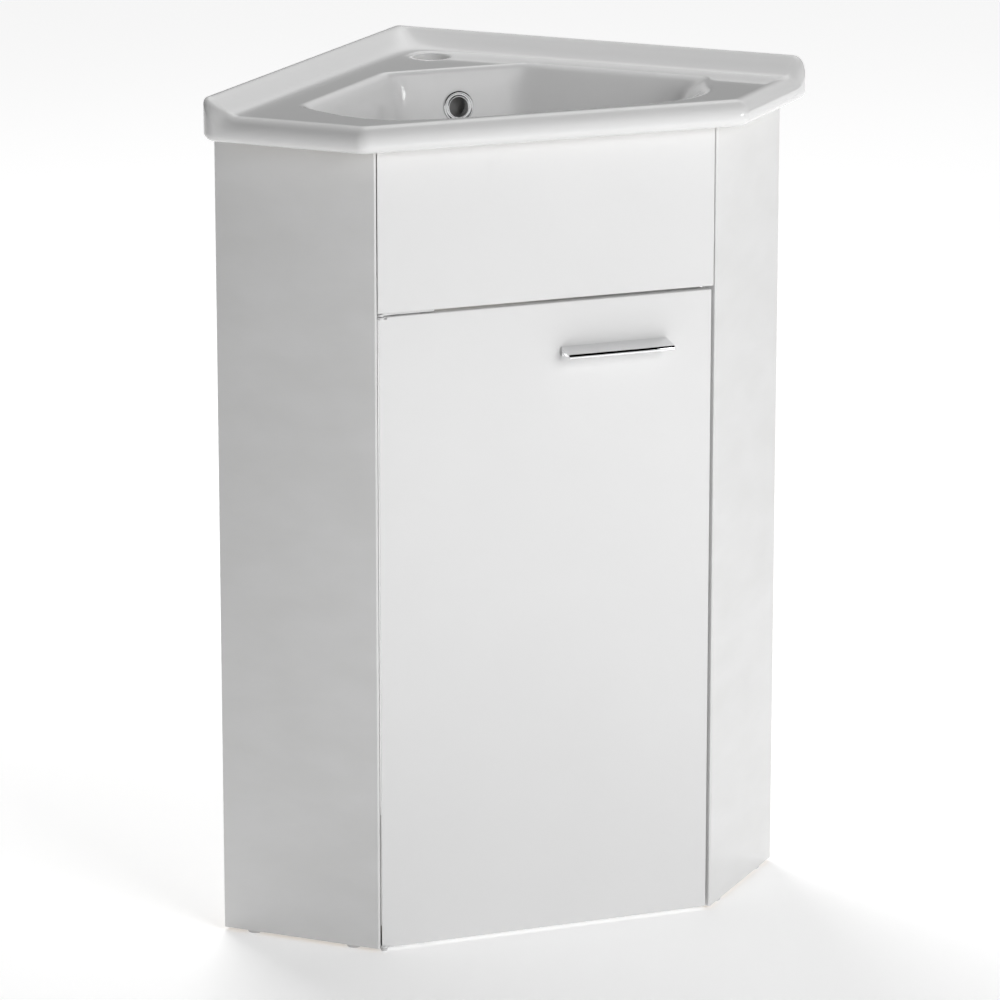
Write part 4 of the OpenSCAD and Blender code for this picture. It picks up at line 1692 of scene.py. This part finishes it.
@dataclass
class FrontPanel:
    """Fascia or door: an upright rectangle whose side edges are mitred.

    Formula: a loft of rounded rectangles through the thickness; the face is drawn in by a
    quarter round, the back by half of one, and each step back takes the mitre off both sides.
    The columns are the rectangle's corner arcs.
    """

    name: str
    node: str
    body: Body
    left: float
    right: float
    foot: float
    head: float
    edge_round: float = 0.9
    corner_round: float = 1.6
    flat: float = 0.35
    notches: list[Object] = field(default_factory=list)

    def outline(self, depth: float, inset: float) -> Array:
        """Rounded rectangle in x and z at a depth behind the front plane.

        Args:
            depth: Distance behind the front plane.
            inset: How far the outline is drawn in.

        Returns:
            K x 3 points.
        """
        left, right = self.left + depth * MITRE, self.right - depth * MITRE
        corners = np.array([[left, self.foot], [right, self.foot],
                            [right, self.head], [left, self.head]])
        flat = rounded_polygon(corners, np.full(4, self.corner_round), inset, 9)
        return np.column_stack([flat[:, 0], np.full(len(flat), PLAN.front_y + depth), flat[:, 1]])

    def build(self) -> Object:
        """Builds the panel and cuts its notches.

        Returns:
            The panel.
        """
        insets, drops = quarter(self.edge_round, 6)
        levels = [(0.0, self.edge_round + self.flat), *zip(drops, insets),
                  *zip(PLAN.board - drops[::-1] / 2, insets[::-1] / 2),
                  (PLAN.board, self.edge_round / 2 + self.flat)]
        worn = np.array([0.0] + [0.7] * len(insets) + [0.4] * len(insets) + [0.0])
        skin = Skin()
        skin.add_rings(np.stack([self.outline(*level) for level in levels]), worn=worn)
        obj = skin.piece(self.name, self.body, [LACQUER], (self.node,),
                         sharp=PANEL_SHARP)
        for cutter in self.notches:
            cut_from(obj, cutter)
        return obj


def cut_from(obj: Object, cutter: Object) -> None:
    """Takes one closed mesh out of another and deletes the cutter.

    Args:
        obj: Object that keeps the rest.
        cutter: Object that is taken away.
    """
    modifier = obj.modifiers.new("notch", "BOOLEAN")
    modifier.operation, modifier.solver, modifier.object = "DIFFERENCE", "EXACT", cutter
    bpy.context.view_layer.update()
    graph = bpy.context.evaluated_depsgraph_get()
    mesh = bpy.data.meshes.new_from_object(obj.evaluated_get(graph))
    obj.modifiers.clear()
    mesh.shade_smooth()
    mesh.set_sharp_from_angle(angle=math.radians(PANEL_SHARP))
    old, obj.data = obj.data, mesh
    mesh.name = obj.name
    bpy.data.meshes.remove(old)
    bpy.data.objects.remove(cutter)


@dataclass
class LeafNotch:
    """Cutter for a hinge leaf let into an edge of the door: its plan, carried upwards.

    Formula: the leaf's rectangle and the eye round its pin, joined as one outline around both.
    Places are measured from the left end of the front plane, x to the right and y inwards.
    """

    # middle of the pin and radius of the eye round it
    pin: tuple[float, float] = (6.2, 1.2)
    eye_r: float = 3.0
    # ends and faces of the leaf, and where the eye meets it
    start: float = 10.5
    end: float = 58.0
    near: float = 3.0
    far: float = 13.0
    eye_meets: tuple[float, float] = (18.5, 9.0)
    # room around the leaf, and how far the cutter goes beyond the height
    slack: float = 0.15
    reach: float = 2.0

    def build(self, height: float) -> Object:
        """Makes a loose object to be cut away, around one end of the door at a height.

        Args:
            height: Height of the door's end.

        Returns:
            The cutter.
        """
        slack = self.slack
        eye = ellipse_points(self.pin, (self.eye_r + slack, self.eye_r + slack),
                  np.linspace(math.radians(135), math.radians(300), 16))
        rest = [[self.eye_meets[0], self.near - slack], [self.end + slack, self.near - slack],
                [self.end + slack, self.far + slack], [self.start - slack, self.far + slack],
                [self.start - slack, self.eye_meets[1]]]
        plan = np.concatenate([eye, rest]) + np.array([-PLAN.half_front, PLAN.front_y])
        skin = Skin()
        skin.add_rings(np.stack([np.column_stack([plan, np.full(len(plan), z)])
                                 for z in (height - self.reach, height + self.reach)]))
        return add_object("leaf_cutter", new_mesh("leaf_cutter", np.concatenate(skin.points),
                                                  skin.faces))


# ---------------------------------------------------------------- grip


@dataclass
class EdgeGrip:
    """Chrome tab grip: a plate that falls towards its rolled front lip.

    Formula: one closed side view, drawn in by a quarter round at both ends, is carried along the
    door. The side view is a polygon whose corners are arcs of their own radii.
    """

    # length, distance of the screws, and how far the lip stands off the door
    length: float = 104.0
    pitch: float = 96.0
    reach: float = 21.0
    # foot on the door: height and thickness
    foot_drop: float = 9.0
    foot: float = 3.5
    # fall of the plate, height and thickness of its lip, and the hollow under the plate
    fall: float = 4.0
    lip: float = 4.4
    lip_thick: float = 2.4
    throat: float = 2.8
    root: float = 2.8
    hollow: float = 5.55
    rise: float = 0.1
    # place, from the door's right edge and head
    inset: float = 45.0
    drop: float = 41.0
    # rounding of the ends, radii of the side view and profile of a screw boss
    end_round: float = 0.5
    flat: float = 0.15
    radii: tuple[float, ...] = (0.3, 0.6, 1.4, 0.8, 0.9, 1.3, 2.6, 0.4)
    boss: tuple[tuple[float, float], ...] = ((3.9, 0.0), (3.9, 6.2), (3.6, 6.8), (3.0, 7.0))

    def outline(self, inset: float) -> Array:
        """Side view, as reach from the door and height from the top, drawn in by an inset.

        Args:
            inset: How far the outline is drawn in.

        Returns:
            K x 2 points.
        """
        reach, chin = self.reach, -self.fall - self.lip
        corners = np.array([
            [0.0, -self.foot_drop], [self.foot, -self.foot_drop], [self.foot, -self.root],
            [reach - self.throat, -self.hollow], [reach - self.lip_thick, chin], [reach, chin],
            [reach, self.rise - self.fall], [0.0, 0.0]])
        return bent_polygon(corners, np.array(self.radii), inset, 9)

    def build(self) -> Object:
        """Carries the side view along the grip and adds the bosses of its two screws.

        Returns:
            The grip.
        """
        middle = PLAN.half_front - PLAN.lip - PLAN.handle_gap - self.inset - self.length / 2
        top = PLAN.door_head - self.drop
        insets, drops = quarter(self.end_round, 4)
        innermost = self.end_round + self.flat
        levels = [(innermost, 0.0), *zip(insets, drops),
                  *zip(insets[::-1], self.length - drops[::-1]), (innermost, self.length)]
        rings = []
        for inset, along in levels:
            flat = self.outline(inset)
            rings.append(np.column_stack([
                np.full(len(flat), middle - self.length / 2 + along),
                PLAN.front_y - flat[:, 0], top + flat[:, 1]]))
        skin = Skin()
        numbers = skin.add_rings(np.stack(rings), caps=False, worn=0.3)
        for ring, turned in ((0, True), (-1, False)):
            self.close_end(skin, rings[ring], numbers[ring], turned)
        for side in (-1, 1):
            centre = np.array([middle + side * self.pitch / 2, PLAN.front_y - 0.01,
                               top - self.foot_drop * 0.6])
            skin.add_rings(lathe(np.array(self.boss), centre, -Y_AXIS, 32), worn=0.3)
        return skin.piece("edge_grip", Body.DOOR, [CHROME], ("handle",), sharp=30)

    def close_end(self, skin: Skin, ring: Array, numbers: Array, turned: bool) -> None:
        """Closes an L-shaped end by triangles between its own points, turned like its ring.

        Args:
            skin: Skin to add to.
            ring: Points of the end.
            numbers: Their numbers.
            turned: Turns the faces over.
        """
        corners = np.array(tessellate_polygon([[Vector(place) for place in ring.tolist()]]))
        flat = ring[:, 1:]
        a, b, c = (flat[corners[:, i]] for i in range(3))
        turn = (b - a)[:, 0] * (c - a)[:, 1] - (b - a)[:, 1] * (c - a)[:, 0]
        against = turn * signed_area(flat) < 0
        corners = np.where(against[:, None] != turned, corners[:, ::-1], corners)
        skin.add_faces(numbers[corners])


# ---------------------------------------------------------------- solids that stay


@dataclass
class KeptSolids:
    """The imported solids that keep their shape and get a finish."""

    finishes: dict[str, Finish] = field(default_factory=lambda: {
        "bottom_panel": Melamine("floor_board", across=(0.0, 0.0, 1.0)),
        "left_top_rail": Melamine("left_rail_board", across=(-C45, C45, 0.0)),
        "right_top_rail": Melamine("right_rail_board", across=(C45, C45, 0.0)),
        "corner_block": Softwood("corner_block_wood"),
        "fascia_blocks": Softwood("glue_block_wood", light=(0.7, 0.52, 0.32)),
        "corner_screws": ZINC, "cam_locks": ZINC, "cam_bolts": ZINC,
        "upper_frame_leaf": COATED, "lower_frame_leaf": COATED, "frame_leaf_screws": ZINC,
        "upper_door_leaf": COATED, "lower_door_leaf": COATED, "door_leaf_screws": ZINC,
        "lower_pivot_pin": SPRING, "upper_pivot_pin": SPRING, "handle_screws": ZINC,
        "catch_housing": CATCH, "catch_magnet": FERRITE, "catch_screws": ZINC,
        "strike_plate": SPRING, "strike_screw": ZINC,
    })

    def dress(self) -> None:
        """Puts each finish in its solid's material slots."""
        for name, finish in self.finishes.items():
            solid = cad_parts[name]
            material = finish.material()
            for place in solid.material_slots:
                place.material = material
            if not solid.material_slots:
                solid.data.materials.append(material)
            LOG.info("%s: kept, %s", name, finish.name)


# ---------------------------------------------------------------- cabinet and door


@dataclass
class Carcass:
    """The five-sided cabinet: side panels and fascia, and the turned glides under it.

    The lacquer builds up by the mitre swell at the inner edge of the side panels' mitres.
    """

    mitre_swell: float = 0.45
    # glides: distance from the ends of the side panels, place of the fifth, and profile
    glide_inset: float = 28.0
    back_glide: float = 150.0
    glide: tuple[tuple[float, float], ...] = ((5.4, 0.0), (6.3, 0.15), (6.85, 0.7), (7.0, 1.3),
                                              (7.0, 2.96))

    def side_corners(self) -> Array:
        """Plan of the left side panel, with the narrow flat at its front.

        Returns:
            Five corners, anticlockwise.
        """
        inner = PLAN.wall_run - PLAN.board
        lip = PLAN.lip * C45
        end = PLAN.side + lip - (PLAN.board - lip) * MITRE + self.mitre_swell
        along = [inner, PLAN.wall_run, PLAN.wall_run, PLAN.wall_run - lip, inner]
        off = [PLAN.wall_clear, PLAN.wall_clear, PLAN.side, PLAN.side + lip, end]
        corners = PLAN.from_walls(along, off)
        return corners if signed_area(corners) > 0 else corners[::-1]

    def build(self) -> list[Object]:
        """Builds the side panels, the fascia and the glides.

        Returns:
            The side panels, the fascia and the set of glides.
        """
        left = self.side_corners()
        right = (left * np.array([-1.0, 1.0]))[::-1]
        start = PLAN.half_front - PLAN.lip - PLAN.fascia_gap
        made = [UprightBoard(name, node, plan, PLAN.glide, PLAN.top, [SIDE_FACE, RAW_EDGE]).build()
                for name, node, plan in (("side_board_left", "left_side_panel", left),
                                         ("side_board_right", "right_side_panel", right))]
        made.append(FrontPanel("fascia_front", "fascia_panel", Body.CABINET, -start, start,
                               PLAN.fascia_foot, PLAN.top).build())
        inner = PLAN.wall_run - PLAN.board / 2
        spots = [PLAN.from_walls(inner, row) for row in (PLAN.wall_clear + self.glide_inset,
                                                         PLAN.side - self.glide_inset)]
        spots += [spot * np.array([-1, 1]) for spot in spots]
        spots.append(PLAN.from_walls(self.back_glide, self.back_glide))
        made.append(TurnedSet("glide_feet", ("floor_glides",), Body.CABINET, Slot.GLIDE, GLIDE,
                              np.array(self.glide), [np.array([*spot, 0.0]) for spot in spots],
                              Z_AXIS).build())
        return made


def signed_area(corners: Array) -> float:
    """Area of a polygon, positive when it runs anticlockwise."""
    x, y = corners.T
    return float((x * np.roll(y, -1) - y * np.roll(x, -1)).sum() / 2)


@dataclass
class Door:
    """The door with its stops and its grip."""

    # stops: distance from the door's edges, dome, foot and top
    stop_inset: float = 32.0
    dome_at: float = 0.4
    dome: tuple[float, float] = (3.97, 1.75)
    dome_power: float = 0.8
    stop_foot: tuple[float, float] = (4.0, 0.02)
    stop_top: tuple[float, float] = (0.25, 2.15)

    def build(self) -> list[Object]:
        """Builds the panel with its leaf notches, the stops and the grip.

        Returns:
            The panel, the stops and the grip.
        """
        left = PLAN.lip + PLAN.hinge_gap - PLAN.half_front
        right = PLAN.half_front - PLAN.lip - PLAN.handle_gap
        notches = [LeafNotch().build(height) for height in (PLAN.door_head, PLAN.door_foot)]
        panel = FrontPanel("door_front", "door_panel", Body.DOOR, left, right,
                           PLAN.door_foot, PLAN.door_head, notches=notches).build()
        dome = ellipse_points((0.0, self.dome_at), self.dome,
                              np.linspace(0, math.pi / 2, 7)[:-1], self.dome_power)
        profile = np.vstack([self.stop_foot, dome, self.stop_top])
        at = right - self.stop_inset
        places = [np.array([side * at, PLAN.front_y + PLAN.board, PLAN.glide + PLAN.board / 2])
                  for side in (-1, 1)]
        stops = TurnedSet("door_stops", ("door_bumpers",), Body.DOOR, Slot.RUBBER, RUBBER,
                          profile, places, Y_AXIS).build()
        return [panel, stops, EdgeGrip().build()]


# ---------------------------------------------------------------- studio


@dataclass(frozen=True)
class Softbox:
    """Flat rectangular lamp aimed at a point, in metres and watts, mirrored or not in gloss."""

    name: str
    place: Triple
    size: tuple[float, float]
    power: float
    mirrored: bool = False
    aim: Triple = (0.0, 0.0, 0.45)

    def build(self) -> None:
        """Sets up the lamp."""
        data = bpy.data.lights.new(self.name, "AREA")
        data.shape, data.size, data.size_y = "RECTANGLE", *self.size
        data.energy = self.power
        lamp = add_object(self.name, data)
        lamp.visible_glossy = self.mirrored
        lamp.location = self.place
        aim = Vector(self.aim) - Vector(self.place)
        lamp.rotation_euler = aim.to_track_quat("-Z", "Y").to_euler()


@dataclass(frozen=True)
class SkyGlow:
    """Soft glow of the sky: its azimuth from the front to the right, height, reach, strength."""

    azimuth: float
    height: float
    reach: float
    strength: float

    def direction(self) -> Triple:
        """Unit vector of its middle."""
        side, up = math.radians(self.azimuth), math.radians(self.height)
        return math.sin(side) * math.cos(up), -math.cos(side) * math.cos(up), math.sin(up)


@dataclass
class Studio:
    """Pale floor, soft sky, softboxes and the camera."""

    # camera: lens and film in millimetres, angles in degrees, place in metres
    lens: float = 196.0
    yaw: float = 21.4
    pitch: float = 14.8
    sensor: float = 36.0
    clip: tuple[float, float] = (0.1, 200.0)
    camera: Triple = (-1.7955, -4.6485, 1.6868)
    floor_half: float = 30000.0
    floor_lines: int = 13
    glows: tuple[SkyGlow, ...] = (
        SkyGlow(153.0, 37.0, 16.0, 0.64),
        SkyGlow(140.0, 55.0, 15.0, 0.9),
        SkyGlow(122.0, 26.0, 32.0, 0.5),
        SkyGlow(180.0, 45.0, 60.0, 0.12),
        SkyGlow(-60.0, 15.0, 50.0, 0.17),
    )
    lamps: tuple[Softbox, ...] = (
        Softbox("key", (0.63, -2.36, 1.34), (1.2, 1.2), 31.5),
        Softbox("back_top", (0.00, 1.49, 2.58), (1.2, 1.2), 46.0),
        Softbox("glint", (1.57, -2.01, 0.85), (0.7, 0.4), 6.5, mirrored=True),
    )

    def build(self) -> None:
        """Sets up the whole studio."""
        self.floor()
        self.sky()
        for lamp in self.lamps:
            lamp.build()
        self.view()
        bpy.context.scene.view_settings.view_transform = "Standard"

    def floor(self) -> None:
        """A plain pale floor of 60 metres, as a grid of 12 by 12 faces."""
        count = self.floor_lines
        side = np.linspace(-self.floor_half, self.floor_half, count)
        grid = np.stack([*np.meshgrid(side, side, indexing="ij"), np.zeros((count, count))], 2)
        numbers = np.arange(count * count).reshape(count, count)
        quads = np.stack([numbers[:-1, :-1], numbers[1:, :-1], numbers[1:, 1:],
                          numbers[:-1, 1:]], 2).reshape(-1, 4)
        mesh = new_mesh("studio_floor", grid.reshape(-1, 3), [quads])
        mesh.materials.append(Floor("pale_floor").material())
        add_object("studio_floor", mesh)

    def sky(self) -> None:
        """A dark sky with glows, each a smooth step of the angle to its middle, added up."""
        world = bpy.data.worlds.new("soft_sky")
        bpy.context.scene.world = world
        world.use_nodes = True
        nodes = Nodes(world.node_tree)
        where = nodes.node("ShaderNodeTexCoord").outputs["Generated"]
        steps = [nodes.between(nodes.along(where, glow.direction()), 0.0, glow.strength,
                               math.cos(math.radians(glow.reach)), 1.0, "SMOOTHSTEP")
                 for glow in self.glows]
        total = steps[0]
        for step in steps[1:]:
            total = nodes.combine("ADD", total, step)
        back = world.node_tree.nodes["Background"]
        nodes.link(total, back.inputs["Strength"])
        back.inputs["Color"].default_value = (1.0, 1.0, 1.0, 1.0)

    def view(self) -> None:
        """The camera, turned by its yaw and pitched down, without shift."""
        data = bpy.data.cameras.new("portrait")
        data.sensor_width, data.lens = self.sensor, self.lens
        data.clip_start, data.clip_end = self.clip
        camera = add_object("portrait", data)
        camera.location = self.camera
        camera.rotation_euler = (math.radians(90 - self.pitch), 0.0, math.radians(-self.yaw))
        bpy.context.scene.camera = camera


# ---------------------------------------------------------------- scene


def main() -> None:
    """Builds the studio and every piece, in order."""
    logging.basicConfig(level=logging.INFO, format="%(name)s %(message)s")
    Studio().build()
    basin = CornerBasin()
    basin.build()
    OverflowRing().build(basin)
    Carcass().build()
    Door().build()
    KeptSolids().dress()


if __name__ == "__main__":
    main()
